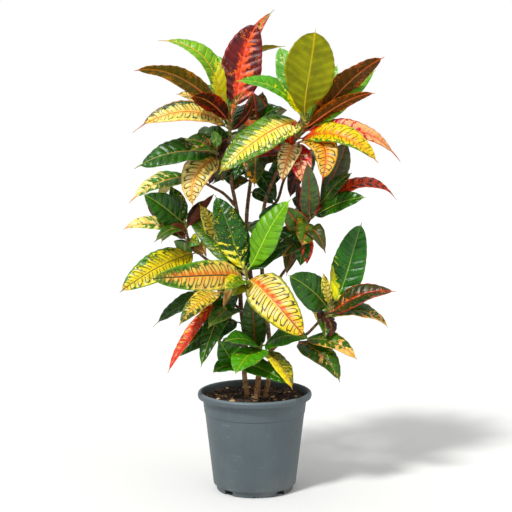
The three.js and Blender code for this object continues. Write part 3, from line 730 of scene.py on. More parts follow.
class LeafPainter:
    """Makes the three materials of a kind of leaf: upper side, lower side, and stalk with midrib.

    The leaf's mesh carries two vectors. "place" holds how far across (-1 to 1) and along (0 to 1) the blade a
    point is, and the leaf's seed. "reach" holds centimetres across and along, and the side veins' count.
    """

    VEINS_PER_CM = 0.66
    VEIN_SLOPE = 0.42
    VEIN_CURL = 0.35
    SATURATION = 1.1
    VALUE = 0.96
    UPPER_SPECULAR = 0.38
    LOWER_SPECULAR = 0.16
    UPPER_RELIEF = 1.6 * MM
    LOWER_RELIEF = 1.0 * MM
    STALK_RELIEF = 0.4 * MM
    STALK_STAIN = rgb("5a4a24")
    # How dark the lower side's mottles and its painted shade between the veins are.
    MOTTLE_AND_HOLLOW_SHADE = (0.4, 0.42, 0.4)

    def __init__(self) -> None:
        """Starts with nothing made."""
        self.made: dict[Kind, list[bpy.types.Material]] = {}

    def materials(self, kind: Kind) -> list[bpy.types.Material]:
        """The upper side's, lower side's and stalk's materials."""
        if kind not in self.made:
            name, look = kind.name.lower(), kind.value
            self.made[kind] = [self.upper(name, look), self.lower(name, look), self.stalk(name, look)]
        return self.made[kind]

    def upper(self, name: str, look: LeafFinish) -> bpy.types.Material:
        """The upper side: glossy, and raised between the side veins.

        Args:
            name: the kind's name.
            look: its finish.

        Returns:
            The material.
        """
        paint = Paint(f"leaf_{name}_upper")
        side = UpperSide(paint, look)
        colour = paint.richer(side.colour(), self.SATURATION, self.VALUE)
        height = (1 - side.cell**2.4) * 0.7 + side.grain * 0.14 + side.spots * 0.12
        relief = paint.bump(height, min(1.0, look.relief * 0.7), self.UPPER_RELIEF)
        roughness = side.grain * 0.1 + side.spots * 0.08 + (look.gloss - 0.05)
        return paint.finish(colour, roughness, relief, Specular_IOR_Level=self.UPPER_SPECULAR)

    def lower(self, name: str, look: LeafFinish) -> bpy.types.Material:
        """The lower side: duller and darker in mottles, with raised paler veins and painted shade in the
        hollows between them.

        Args:
            name: the kind's name.
            look: its finish.

        Returns:
            The material.
        """
        paint = Paint(f"leaf_{name}_lower")
        across, _, seed = paint.attribute("place")
        side_cm, along_cm, count = paint.attribute("reach")
        spread = abs(across)
        off = abs(side_cm)
        cell = abs((count + across.above(0.0) * 0.5).fraction() - 0.5) * 2
        flat = paint.vector(side_cm, along_cm, seed)
        cloud = paint.noise(flat, 0.4, 3, 0.5)
        spots = paint.noise(flat, 3.2, 3, 0.6)
        grain = paint.noise(flat, 9, 3)
        back, veins = rgb(look.back), rgb(look.back_rib)
        dark = tuple(part * dim for part, dim in zip(back, self.MOTTLE_AND_HOLLOW_SHADE)) + (1.0,)
        colour = paint.mix(cloud.rise(0.36, 0.66) * 0.5, back, dark)
        # Painted shade: darker in the hollows between the side veins.
        colour = paint.mix((1 - cell).rise(0.2, 1.0) * 0.3, colour, dark)
        if look.back_blotched:
            shown = (cloud * 0.5 + spots * 0.5 + spread * 0.16).rise(0.64, 0.67)
            colour = paint.mix(shown * look.back_blotched, colour, rgb(look.back_blotch))
        line = cell.rise(0.9, 0.99) * (1 - spread.rise(0.7, 1.0))
        colour = paint.mix(line * 0.3, colour, veins)
        colour = paint.mix((1 - off.rise(0.07, 0.2)) * 0.85, colour, veins)
        colour = paint.mix((spread + (cloud - 0.5) * 0.2).rise(0.93, 1.0) * 0.5, colour, veins)
        colour = paint.richer(colour, self.SATURATION, self.VALUE)
        relief = paint.bump(line + grain * 0.2 + spots * 0.2, 0.7, self.LOWER_RELIEF)
        roughness = grain * 0.12 + (look.gloss + 0.12)
        return paint.finish(colour, roughness, relief, Specular_IOR_Level=self.LOWER_SPECULAR)

    def stalk(self, name: str, look: LeafFinish) -> bpy.types.Material:
        """The stalk and the raised midrib that it runs out into.

        Args:
            name: the kind's name.
            look: its finish.

        Returns:
            The material.
        """
        paint = Paint(f"leaf_{name}_stalk")
        _, along, _ = paint.attribute("place")
        cloud = paint.noise(paint.place(), 220, 3)
        foot = paint.mix(along.rise(0.0, 0.2), rgb(look.stalk), rgb(look.rib))
        colour = paint.mix(along.rise(0.3, 0.95), foot, rgb(look.rib_end))
        colour = paint.mix(cloud.rise(0.45, 0.8) * 0.25, colour, self.STALK_STAIN)
        return paint.finish(colour, cloud * 0.15 + 0.36, paint.bump(cloud, 0.3, self.STALK_RELIEF))


# ---- the plant's layout, in millimetres from the pot's axis ---------------------------------
# Each shoot's points from its foot to its growth tip, and its radius at the foot and at the tip.
SHOOTS: dict[str, tuple[list[tuple[float, float, float]], float, float]] = {
    "left_main": (
        [(-14, 6, 112), (-14, 6, 150), (-14.2, 6, 177), (-17, 6, 194), (-19, 8, 219), (-17, 12, 265),
         (-22, 16, 308), (-26, 20, 348), (-26, 25, 430), (-29, 25, 488), (-36, 20, 532), (-42, 12, 565),
         (-46, 4, 624), (-44, 0, 674), (-43, 0, 702)], 5.0, 2.8),
    "left_upper": ([(-43, 9, 578), (-56, 4, 604), (-70, -4, 627)], 2.6, 2.0),
    "left_side": (
        [(-35, 21, 522), (-56, 24, 543), (-77, 26, 555), (-100, 26, 568), (-118, 24, 581)], 3.0, 2.0),
    "left_middle": (
        [(-26, 22, 370), (-53, 20, 400), (-89, 18, 424), (-115, 12, 450), (-122, 8, 467),
         (-127, 6, 495)], 3.2, 2.1),
    "left_low": ([(-25, 19, 330), (-45, 8, 348), (-62, -4, 370)], 2.8, 2.0),
    "foot_left": ([(-19, 8, 214), (-24, 0, 227), (-29, -6, 235)], 2.4, 1.8),
    "centre_main": (
        [(4, 3, 112), (4, 3, 150), (4.2, 3, 177), (6, 3, 198), (9, 4, 230), (6, 10, 266), (1, 28, 328),
         (-9, 42, 401), (-15, 48, 486), (-10, 46, 547), (-3, 38, 595), (4, 28, 641),
         (8, 20, 681)], 5.8, 2.6),
    "front": ([(6, 11, 268), (-3, -8, 312), (-9, -28, 351), (-13, -42, 384), (-15, -52, 416)], 3.4, 2.2),
    "foot_front": ([(9, 4, 232), (11, -8, 256), (13, -16, 272)], 2.6, 1.9),
    "right_main": (
        [(20, 6, 112), (20, 6, 150), (20.2, 6, 177), (24, 8, 193), (29, 10, 234), (28, 12, 265),
         (23, 16, 311), (16, 20, 366), (12, 22, 440), (13, 20, 486), (20, 12, 533), (37, -2, 578),
         (65, -14, 630), (84, -20, 660), (94, -22, 685)], 4.6, 2.8),
    "right_back": (
        [(13, 19, 484), (29, 30, 515), (43, 36, 533), (53, 38, 566), (68, 34, 595),
         (81, 28, 623)], 3.0, 2.0),
    "right_side": (
        [(22, 17, 325), (41, 12, 381), (61, 2, 413), (73, -4, 430), (82, -8, 451), (92, -12, 484),
         (105, -14, 511), (112, -14, 529)], 3.2, 2.0),
    "right_low": (
        [(28.5, 12, 255), (57, 6, 276), (90, -6, 286), (113, -14, 309), (131, -20, 330),
         (138, -22, 351)], 3.2, 2.2),
}

# The shoots of each cutting. The first stands in the soil.
STEMS: dict[str, tuple[str, ...]] = {
    "stem_left": ("left_main", "left_upper", "left_side", "left_middle", "left_low", "foot_left"),
    "stem_centre": ("centre_main", "front", "foot_front"),
    "stem_right": ("right_main", "right_back", "right_side", "right_low"),
}


class Shoot:
    """A shoot's centreline: one smooth curve through its points, measured along its length."""

    STEPS = 200
    NEAR = 1e-4

    def __init__(self, points: list[tuple[float, float, float]], foot: float, top: float) -> None:
        """Measures the curve.

        Args:
            points: where the shoot passes.
            foot: its radius at the first point.
            top: its radius at the last point.
        """
        self.points = [Vector(p) for p in points]
        self.foot = foot
        self.top = top
        self.lengths = [0.0]
        before = self.curve(0)
        for i in range(1, self.STEPS + 1):
            after = self.curve(i / self.STEPS)
            self.lengths.append(self.lengths[-1] + (after - before).length)
            before = after

    @property
    def length(self) -> float:
        """The shoot's length."""
        return self.lengths[-1]

    def curve(self, t: float) -> Vector:
        """The point at a share of the curve's own parameter."""
        pieces = len(self.points) - 1
        index = min(pieces - 1, int(t * pieces))
        w = t * pieces - index
        b, c = self.points[index], self.points[index + 1]
        a = self.points[index - 1] if index else 2 * b - c
        d = self.points[index + 2] if index + 2 <= pieces else 2 * c - b
        start, end = (c - a) / 2, (d - b) / 2
        return b + start * w + (3 * (c - b) - 2 * start - end) * w**2 + (2 * (b - c) + start + end) * w**3

    def parameter(self, share: float) -> float:
        """The curve's parameter at a share of its length."""
        wanted = share * self.length
        for i in range(self.STEPS):
            if self.lengths[i + 1] >= wanted:
                step = self.lengths[i + 1] - self.lengths[i]
                return (i + (wanted - self.lengths[i]) / step) / self.STEPS
        return 1.0

    def at(self, share: float) -> Vector:
        """The point at a share of the length."""
        return self.curve(self.parameter(share))

    def along(self, share: float) -> Vector:
        """The growing direction at a share of the length."""
        t = self.parameter(share)
        low, high = max(0.0, t - self.NEAR), min(1.0, t + self.NEAR)
        return (self.curve(high) - self.curve(low)).normalized()

    def radius(self, seat: float) -> float:
        """The radius at a distance below the growth tip."""
        return self.top + (self.foot - self.top) * seat / self.length


GROWN = {name: Shoot(*row) for name, row in SHOOTS.items()}


# ---- tubes ----------------------------------------------------------------------------------
@dataclass(frozen=True)
class Ring:
    """One ring of a tube. "age" is what the tube's layer carries there."""

    centre: Vector
    side: Vector
    along: Vector
    radius: float
    age: tuple[float, float, float]

    def matrix(self) -> Matrix:
        """Takes a unit circle to this ring."""
        up = self.along.cross(self.side)
        columns = (self.side * self.radius, up * self.radius, self.along * self.radius)
        turn = Matrix(columns).transposed().to_4x4()
        return Matrix.Translation(self.centre) @ turn


def tube(
    maker: bmesh.types.BMesh, rings: list[Ring], sides: int, layer: bmesh.types.BMLayerItem, index: int = 0
) -> None:
    """A closed tube through rings: a circle, extruded and moved on ring by ring.

    Args:
        maker: the mesh that gets the tube.
        rings: at least two rings.
        sides: points round a ring.
        layer: the vector layer that takes each ring's "age".
        index: the material index.
    """
    made = bmesh.ops.create_circle(maker, cap_ends=True, segments=sides, radius=1.0, matrix=rings[0].matrix())
    verts = made["verts"]
    edges = list({e for v in verts for e in v.link_edges})
    faces = set(verts[0].link_faces)
    for v in verts:
        v[layer] = rings[0].age
    for before, after in zip(rings, rings[1:]):
        grown = bmesh.ops.extrude_edge_only(maker, edges=edges)["geom"]
        verts = [g for g in grown if isinstance(g, bmesh.types.BMVert)]
        faces.update(g for g in grown if isinstance(g, bmesh.types.BMFace))
        ring = set(verts)
        edges = [g for g in grown if isinstance(g, bmesh.types.BMEdge) and set(g.verts) <= ring]
        bmesh.ops.transform(maker, matrix=after.matrix() @ before.matrix().inverted(), verts=verts)
        for v in verts:
            v[layer] = after.age
    faces.update(bmesh.ops.contextual_create(maker, geom=edges)["faces"])
    for face in faces:
        face.material_index = index
        face.smooth = len(face.verts) == 4
    bmesh.ops.recalc_face_normals(maker, faces=list(faces))


# ---- leaves ---------------------------------------------------------------------------------
@dataclass(frozen=True)
class Midrib:
    """A leaf's midrib in equal steps of its curve, from the stem's surface to the tip."""

    points: list[Vector]
    tangents: list[Vector]
    sides: list[Vector]
    out: Vector

    @cached_property
    def run(self) -> list[float]:
        """The distance along it to each point."""
        run = [0.0]
        for a, b in zip(self.points, self.points[1:]):
            run.append(run[-1] + (b - a).length)
        return run


@dataclass(frozen=True)
class Leaf:
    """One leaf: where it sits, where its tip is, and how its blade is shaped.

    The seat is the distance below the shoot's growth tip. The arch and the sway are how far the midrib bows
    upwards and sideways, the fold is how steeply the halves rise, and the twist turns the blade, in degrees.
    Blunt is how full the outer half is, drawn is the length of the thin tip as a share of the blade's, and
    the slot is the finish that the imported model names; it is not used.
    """

    shoot: str
    seat: float
    tip: tuple[float, float, float]
    face: tuple[float, float, float]
    width: float
    arch: float
    fold: float
    kind: Kind
    blunt: float = 0.18
    widest: float = 0.5
    twist: float = 0.0
    slot: str = "green"
    drawn: float = 0.035
    sway: float = 0.0

    BLADE_AT = 0.09
    GAP = 0.3
    RISE_OUT = 0.13
    RISE_UP = 0.1
    CREST_AT = 0.55
    CREST_REACH = 2.4
    FULLNESS = 0.7
    EDGE = 0.4
    TIP_WIDTH = 16

    def chance(self, name: str) -> random.Random:
        """The leaf's own random numbers."""
        return random.Random(f"{name} {self.seat} {self.tip}")

    def half(self, share: float) -> float:
        """Half the blade's width at a share of its length."""
        body = min(1.0, share / (1 - self.drawn))
        power = math.log(0.5) / math.log(self.widest)
        swell = math.sin(math.pi * min(1.0, body**power))
        full = self.FULLNESS + 0.5 * (0.6 - self.widest)
        full *= 1 - self.blunt * smoothstep(0.35, 0.85, body)
        thin = 1.0
        if share > 0.5:
            thin = self.EDGE + self.TIP_WIDTH * self.drawn * min(1.0, (1 - share) / (1.5 * self.drawn))
        return max(self.width / 2 * max(0.0, swell) ** full, thin)

    def midrib(self, steps: int) -> Midrib:
        """The midrib, a cubic curve from the stem's surface to the tip.

        Args:
            steps: how many steps it is divided into, an even number.

        Returns:
            Its points, the directions along it and to the leaf's right, and the way out of the stem.
        """
        shoot = GROWN[self.shoot]
        share = 1 - self.seat / shoot.length
        root, grow = shoot.at(share), shoot.along(share)
        tip = Vector(self.tip)
        reach = tip - root
        out = (reach - grow * reach.dot(grow)).normalized()
        start = root + out * (shoot.radius(self.seat) + self.GAP)
        chord = tip - start
        straight = chord.normalized()
        face = Vector(self.face)
        up = (face - straight * face.dot(straight)).normalized()
        rise = start + (out * self.RISE_OUT + grow * self.RISE_UP) * chord.length
        bow = up * self.arch + straight.cross(up) * self.sway
        crest = start + chord * self.CREST_AT + bow * self.CREST_REACH
        points, tangents = [], []
        for i in range(steps + 1):
            t = i / steps
            s = 1 - t
            points.append(start * s**3 + rise * 3 * s * s * t + crest * 3 * s * t * t + tip * t**3)
            slope = (rise - start) * 3 * s * s + (crest - rise) * 6 * s * t + (tip - crest) * 3 * t * t
            tangents.append(slope.normalized())

        def level(side: Vector, k: int) -> Vector:
            """Squares a sideways direction to the midrib."""
            return (side - tangents[k] * side.dot(tangents[k])).normalized()

        middle = steps // 2
        sides: list[Vector] = [Vector()] * (steps + 1)
        sides[middle] = level(straight.cross(up), middle)
        for i in range(middle + 1, steps + 1):
            sides[i] = level(sides[i - 1], i)
        for i in range(middle - 1, -1, -1):
            sides[i] = level(sides[i + 1], i)
        return Midrib(points, tangents, sides, out)


@dataclass(frozen=True)
class Row:
    """What all points of one row across a blade share.

    The share and the distance are counted from the blade's foot. The halves are the half widths to the left
    and to the right, and the fold is its cosine and sine.
    """

    share: float
    point: Vector
    side: Vector
    normal: Vector
    distance: float
    halves: tuple[float, float]
    fold: tuple[float, float]


@dataclass
class LeafBuilder:
    """Grows leaves into a mesh: a blade of thin, closed skin, and a stalk that runs out as its midrib."""

    columns: int = 18
    row: float = 2.3
    thickness: float = 0.5
    quilt: float = 1.4
    wave: float = 0.03
    scallop: float = 0.03
    frill: float = 1.1
    roll: float = 0.078
    groove: float = 0.4
    groove_width: float = 1.6
    stalk_sides: int = 10
    stalk_rings: int = 26

    MIDRIB_STEPS = 120
    FEWEST_ROWS = 14
    QUICK_COARSENESS = 2.2
    STALK_RADIUS = 1.25
    FOOT_RADIUS = 2.0
    FOOT_LENGTH = 0.014
    FOOT_SUNK = 1.6
    RIB_END = 0.98
    RIB_TAPER = 0.74
    STALK_STATIONS = (0.0, 0.006, 0.014, 0.025, 0.04, 0.06, 0.09)

    def grow(self, maker: bmesh.types.BMesh, name: str, leaf: Leaf, first: int) -> None:
        """Adds one leaf.

        Args:
            maker: the mesh.
            name: the leaf's name, or its part of the plant.
            leaf: the leaf.
            first: the material index of its upper side; its lower side and stalk take the next two.
        """
        chance = leaf.chance(name)
        seed = round(chance.uniform(0, 9), 3)
        layers = maker.verts.layers.float_vector
        place = layers.get("place") or layers.new("place")
        reach = layers.get("reach") or layers.new("reach")
        rib = leaf.midrib(self.MIDRIB_STEPS)
        self._blade(maker, leaf, chance, seed, rib, (place, reach), first)
        self._stalk(maker, leaf, seed, rib, place, first + 2)

    def _rows(self, leaf: Leaf, chance: random.Random, rib: Midrib, count: int) -> list[Row]:
        """Lays the blade's rows out along the midrib.

        Args:
            leaf: the leaf.
            chance: its random numbers.
            rib: its midrib.
            count: how many rows there are after the first.

        Returns:
            The rows, from the blade's foot to its tip.
        """
        slant = chance.uniform(-0.05, 0.05)
        turn_extra = math.radians(chance.uniform(-5, 5))
        found = []
        for row in range(count + 1):
            share = row / count
            t = leaf.BLADE_AT + share * (1 - leaf.BLADE_AT)
            k = t * self.MIDRIB_STEPS
            i = min(self.MIDRIB_STEPS - 1, int(k))
            w = k - i
            point = rib.points[i].lerp(rib.points[i + 1], w)
            along = rib.tangents[i].lerp(rib.tangents[i + 1], w).normalized()
            turn = math.radians(leaf.twist) * (t - 0.5) + turn_extra * share
            side = Quaternion(along, turn) @ rib.sides[i].lerp(rib.sides[i + 1], w).normalized()
            distance = rib.run[i] + (rib.run[i + 1] - rib.run[i]) * w - rib.run[-1] * leaf.BLADE_AT
            lean = slant * math.sin(math.pi * share)
            halves = tuple(leaf.half(min(1.0, max(0.0, share + way))) for way in (-lean, lean))
            fold = math.radians(leaf.fold) * smoothstep(0.0, 0.12, share)
            fold_parts = (math.cos(fold), math.sin(fold))
            found.append(Row(share, point, side, side.cross(along), distance, halves, fold_parts))
        return found

    def _blade(
        self,
        maker: bmesh.types.BMesh,
        leaf: Leaf,
        chance: random.Random,
        seed: float,
        rib: Midrib,
        layers: tuple[bmesh.types.BMLayerItem, bmesh.types.BMLayerItem],
        first: int,
    ) -> None:
        """The blade: a grid, thickened by an extrusion, then laid out along the midrib.

        Args:
            maker: the mesh.
            leaf: the leaf.
            chance: its random numbers.
            seed: its place in the patterns.
            rib: its midrib.
            layers: the layers for "place" and "reach".
            first: the upper side's material index.
        """
        place, reach = layers
        coarse = 1.0
        columns = int(self.columns / coarse / 2) * 2
        count = max(self.FEWEST_ROWS, int(rib.run[-1] * (1 - leaf.BLADE_AT) / (self.row * coarse)))
        under = set(bmesh.ops.create_grid(maker, x_segments=columns, y_segments=count, size=1.0)["verts"])
        flat = list({f for v in under for f in v.link_faces})
        edges = list({e for f in flat for e in f.edges})
        whole = flat + edges + list(under)
        grown = bmesh.ops.extrude_face_region(maker, geom=whole, use_keep_orig=True)["geom"]
        upper = {g for g in grown if isinstance(g, bmesh.types.BMVert)}
        phases = [tuple(chance.uniform(*span) for span in ((0, 6.3), (0, 6.3), (0.7, 1.3))) for _ in range(2)]
        rows = self._rows(leaf, chance, rib, count)
        wave = leaf.width * self.wave * chance.uniform(0.6, 1.4)
        for v in under | upper:
            across = v.co.x
            row = rows[round((v.co.y + 1) / 2 * count)]
            off = abs(across)
            right = across > 0
            half = row.halves[right]
            x = across * half

            # The side veins' count, and the cell between two of them: 0 in its middle, 1 on the veins.
            order = row.distance / 10 - abs(x) / 10 * LeafPainter.VEIN_SLOPE - off**3 * LeafPainter.VEIN_CURL
            warp = noise.noise(Vector((x * 0.03, row.distance * 0.03, seed * 3))) * 0.25
            order = order * LeafPainter.VEINS_PER_CM + warp
            cell = abs((order + (0.5 if right else 0)) % 1 - 0.5) * 2

            # The height over the midrib's plane: fold, rolled edge, waves, frill, quilting and groove.
            soft, fine, size = phases[right]
            ripple = math.sin(row.share * 9.5 * size + soft) + 0.5 * math.sin(row.share * 21 + fine)
            pillow = (1 - cell**2) * smoothstep(0.03, 0.25, off) * (1 - off**6) * min(1.0, half / 14)
            lift = off * half * row.fold[1] - self.roll * half * off**2.2
            lift += ripple * wave * off**2 * min(1.0, math.sin(math.pi * row.share) * 2.5)
            lift += (0.5 - cell) * self.frill * off**5 * min(1.0, half / 12)
            lift += pillow * self.quilt - self.groove * math.exp(-((x / self.groove_width) ** 2))
            lift -= 0 if v in upper else self.thickness

            reached = x * (1 + (0.5 - cell) * self.scallop * off**4) * row.fold[0]
            v.co = metres(row.point + row.side * reached + row.normal * lift)
            v[place] = (across, row.share, seed)
            v[reach] = (x / 10, row.distance / 10, order)
        faces = {f for v in under | upper for f in v.link_faces}
        for face in faces:
            face.material_index = first if all(v in upper for v in face.verts) else first + 1
            face.smooth = True
        bmesh.ops.recalc_face_normals(maker, faces=list(faces))

    def _stalk(
        self,
        maker: bmesh.types.BMesh,
        leaf: Leaf,
        seed: float,
        rib: Midrib,
        place: bmesh.types.BMLayerItem,
        index: int,
    ) -> None:
        """The stalk, from just inside the stem, and the midrib under the blade.

        Args:
            maker: the mesh.
            leaf: the leaf.
            seed: its place in the patterns.
            rib: its midrib.
            place: the layer for "place".
            index: the material index.
        """
        scale = min(1.0, 0.55 + leaf.width / 100)
        last = self.STALK_STATIONS[-1]
        under = [last + (self.RIB_END - last) * (i + 1) / self.stalk_rings for i in range(self.stalk_rings)]
        foot = metres(rib.points[0] - rib.out * self.FOOT_SUNK)
        rings = [Ring(foot, rib.sides[0], rib.out, self.FOOT_RADIUS * scale * MM, (0, 0, seed))]
        for t in (*self.STALK_STATIONS, *under):
            k = t * self.MIDRIB_STEPS
            i = min(self.MIDRIB_STEPS - 1, int(k))
            point = rib.points[i].lerp(rib.points[i + 1], k - i)
            side, along = rib.sides[i], rib.tangents[i]
            swollen = math.exp(-((t / self.FOOT_LENGTH) ** 2))
            blade = max(0.0, (t - leaf.BLADE_AT) / (1 - leaf.BLADE_AT))
            radius = scale * (self.STALK_RADIUS + (self.FOOT_RADIUS - self.STALK_RADIUS) * swollen)
            radius *= 1 - self.RIB_TAPER * blade**0.7
            sunk = smoothstep(0.05, 0.12, t) * (radius - 0.1)
            centre = metres(point - side.cross(along) * sunk)
            rings.append(Ring(centre, side, along, radius * MM, (0, blade, seed)))
        tube(maker, rings, self.stalk_sides, place, index)


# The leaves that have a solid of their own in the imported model, by part of the plant.
LEAVES: dict[str, list[Leaf]] = {
    "left_crown": [
        Leaf("left_main", 15, (-172, -10, 818), (0.1, -0.62, 0.75), 46, 52, 18, Kind.LIME,
             widest=0.52, slot="lime", drawn=0.06),
        Leaf("left_main", 20, (-210, -60, 764), (0.1, 0.75, 0.65), 44, 34, 8, Kind.KHAKI_BACK,
             widest=0.55, slot="brown"),
        Leaf("left_main", 27, (-109, -95, 718), (0, 0.6, 0.8), 46, 12, 10, Kind.MAROON_BACK,
             blunt=0.4, widest=0.55, slot="maroon"),
        Leaf("left_main", 36, (-215, -50, 656), (-0.1, -0.66, 0.74), 58, 32, 10, Kind.GOLD,
             widest=0.48, slot="yellow", drawn=0.1),
        Leaf("left_main", 3, (6, 30, 852), (-0.12, -0.97, 0.15), 76, -2, 10, Kind.CORAL,
             blunt=0.35, widest=0.52, slot="coral", sway=-9),
        Leaf("left_main", 7, (36, 75, 878), (-0.2, -0.9, 0.3), 32, -2, 14, Kind.CORAL_PALE,
             slot="coral", sway=-20),
        Leaf("left_main", 13, (57, 115, 813), (0.1, 0.6, 0.8), 44, 40, 14, Kind.OLIVE, slot="olive"),
    ],
    "right_crown": [
        Leaf("right_main", 4, (105, -76, 835), (0.05, 0.97, 0.25), 88, -8, 6, Kind.OLIVE_BACK,
             blunt=0.32, widest=0.64, slot="olive"),
        Leaf("right_main", 8, (44, 20, 810), (0.4, -0.9, 0.2), 60, 8, 10, Kind.PALE,
             widest=0.58, slot="pale"),
        Leaf("right_main", 15, (224, -80, 787), (-0.3, 0.8, 0.5), 56, 14, 10, Kind.BROWN_BACK,
             widest=0.55, slot="brown"),
        Leaf("right_main", 21, (207, -105, 725), (-0.1, 0.75, 0.65), 32, 14, 12, Kind.BROWN_BACK,
             slot="brown"),
        Leaf("right_main", 43, (214, -98, 605), (0.1, -0.75, 0.65), 54, 34, 14, Kind.GOLD_RED, slot="yellow"),
        Leaf("right_main", 27, (261, -20, 603), (0.05, -0.8, 0.6), 38, 42, 14, Kind.PINK_GOLD,
             widest=0.48, slot="orange", drawn=0.1),
        Leaf("right_main", 54, (115, -120, 573), (0.2, -0.95, 0.25), 50, 26, 12, Kind.ORANGE_VEIN,
             blunt=0.35, widest=0.55, slot="orange", sway=-24),
        Leaf("right_main", 60, (88, -74, 565), (0.1, -0.98, 0.2), 46, 8, 14, Kind.PINK_CREAM, slot="coral"),
        Leaf("right_main", 21, (-63, -105, 585), (-0.35, -0.8, 0.5), 74, 20, 8, Kind.YELLOW_HEART,
             widest=0.52, slot="yellow"),
        Leaf("right_main", 10, (-32, -85, 746), (-0.15, -0.6, 0.8), 50, 22, 12, Kind.GREEN_GOLD,
             slot="bright"),
    ],
    "upper_left": [
        Leaf("left_upper", 8, (-212, -60, 593), (-0.15, -0.7, 0.7), 62, 18, 8, Kind.GREEN_CREAM,
             blunt=0.3, widest=0.52, drawn=0.07),
        Leaf("left_upper", 20, (-109, -60, 527), (-0.3, -0.95, 0.1), 58, 14, 8, Kind.YELLOW_ORANGE,
             slot="yellow", sway=14),
        Leaf("left_side", 4, (-226, -20, 529), (-0.2, -0.7, 0.7), 46, 16, 10, Kind.CREAM_GREEN,
             widest=0.48, slot="pale", drawn=0.1),
    ],
    "middle_left": [
        Leaf("left_middle", 3, (-198, -45, 548), (-0.4, -0.75, 0.55), 54, 8, 8, Kind.GREEN,
             widest=0.55),
        Leaf("left_middle", 34, (-236, -30, 483), (-0.1, -0.55, 0.85), 44, 20, 14, Kind.CREAM_GREEN,
             slot="lime"),
        Leaf("left_middle", 64, (-239, -70, 375), (-0.15, -0.85, 0.5), 66, 13, 6, Kind.YELLOW_DARK,
             slot="yellow"),
    ],
    "front": [
        Leaf("front", 3, (63, -70, 540), (-0.35, -0.85, 0.35), 56, 12, 8, Kind.BRIGHT,
             widest=0.55, slot="bright"),
        Leaf("front", 8, (-71, -30, 545), (0.25, -0.92, 0.3), 58, 10, 6, Kind.DARK_YELLOW,
             widest=0.56),
        Leaf("front", 12, (-101, 0, 528), (0.0, -0.95, 0.3), 48, -14, 8, Kind.YELLOW_DASH, slot="yellow"),
        Leaf("front", 20, (-179, -150, 410), (-0.1, -0.95, 0.3), 56, 10, 6, Kind.ORANGE_PINK,
             blunt=0.3, widest=0.48, slot="orange"),
        Leaf("front", 24, (87, -140, 307), (0.15, -0.98, 0.2), 74, 18, 4, Kind.BIG_YELLOW,
             blunt=0.32, widest=0.48, slot="yellow"),
    ],
    "lower_right": [
        Leaf("right_low", 14, (59, -70, 406), (-0.25, -0.75, 0.6), 66, 12, 6, Kind.GREEN,
             blunt=0.35),
        Leaf("right_low", 3, (192, -25, 495), (-0.1, -0.9, 0.35), 62, -8, 8, Kind.GREEN_PATCH,
             blunt=0.3, widest=0.52),
        Leaf("right_low", 19, (251, -60, 375), (0, -0.7, 0.7), 48, 22, 10, Kind.DARK_RED, slot="dark"),
        Leaf("right_low", 25, (240, -40, 307), (0.05, -0.45, 0.9), 44, 22, 12, Kind.GREEN_TIP),
        Leaf("right_low", 84, (183, -70, 254), (0.1, -0.6, 0.8), 46, 18, 10, Kind.GREEN_TIP),
        Leaf("right_low", 98, (152, -75, 214), (0.15, -0.65, 0.75), 52, 20, 8, Kind.GREEN_PINK),
    ],
    "foot": [
        Leaf("foot_front", 2, (98, -70, 291), (0, -0.6, 0.8), 60, 14, 8, Kind.FRESH),
        Leaf("foot_front", 10, (-34, -115, 237), (-0.25, -0.75, 0.6), 60, 10, 6, Kind.BRIGHT_FLECK,
             slot="bright"),
        Leaf("foot_front", 15, (67, -95, 206), (0.55, -0.75, 0.3), 44, 10, 16, Kind.HALF_YELLOW,
             slot="yellow"),
    ],
    "lower_left": [
        Leaf("left_low", 12, (-185, -5, 303), (-0.3, -0.6, 0.75), 46, 14, 18, Kind.DARK_GREEN,
             widest=0.42, drawn=0.08),
        Leaf("left_low", 3, (-133, -95, 320), (-0.25, -0.8, 0.55), 42, 14, 8, Kind.YELLOW_PINK,
             slot="yellow"),
        Leaf("left_low", 19, (-154, -90, 234), (-0.5, -0.8, 0.3), 26, 12, 14, Kind.RED_ORANGE,
             widest=0.62, twist=50, slot="red"),
        Leaf("left_main", 400, (-144, -45, 250), (-0.3, -0.75, 0.6), 58, 18, 8, Kind.GREEN),
        Leaf("left_main", 380, (-82, -95, 315), (-0.1, -0.7, 0.7), 46, 14, 8, Kind.GREEN_PINK),
    ],
    "middle_right": [
        Leaf("right_side", 14, (258, 4, 533), (0.05, -0.55, 0.84), 38, 46, 12, Kind.RED_BARS, slot="red"),
        Leaf("right_side", 4, (173, -40, 585), (-0.3, -0.8, 0.55), 32, 8, 12, Kind.DARK_FLECK, slot="dark"),
        Leaf("right_side", 24, (194, -85, 545), (-0.05, -0.72, 0.69), 44, 8, 8, Kind.GREEN,
             widest=0.55),
        Leaf("right_side", 29, (90, -108, 609), (0.05, -0.95, 0.3), 38, 8, 10, Kind.RED_EDGE,
             widest=0.45, slot="dark"),
        Leaf("right_side", 40, (83, -70, 458), (0.1, -0.95, 0.25), 44, 4, 12, Kind.GREEN_ORANGE, slot="dark"),
    ],
    "rear": [
        Leaf("left_main", 36, (-95, 140, 735), (-0.2, 0.4, 0.9), 50, 26, 8, Kind.GREEN_FLECK),
        Leaf("right_main", 34, (170, 140, 735), (0.2, 0.4, 0.9), 50, 26, 8, Kind.GOLD, slot="yellow"),
        Leaf("centre_main", 40, (-25, 156, 610), (0, 0.5, 0.9), 50, 26, 8, Kind.GREEN),
        Leaf("left_side", 18, (-185, 150, 520), (-0.3, 0.5, 0.8), 46, 20, 8, Kind.YELLOW_DASH, slot="yellow"),
        Leaf("right_back", 8, (150, 155, 555), (0.3, 0.5, 0.8), 46, 20, 8, Kind.DARK_GREEN, slot="dark"),
        Leaf("centre_main", 210, (20, 158, 430), (0, 0.6, 0.8), 52, 24, 8, Kind.GREEN),
        Leaf("right_low", 32, (185, 130, 320), (0.2, 0.5, 0.8), 48, 20, 8, Kind.GREEN_FLECK),
        Leaf("left_low", 24, (-120, 130, 300), (-0.2, 0.5, 0.8), 48, 20, 8, Kind.GREEN),
    ],
}

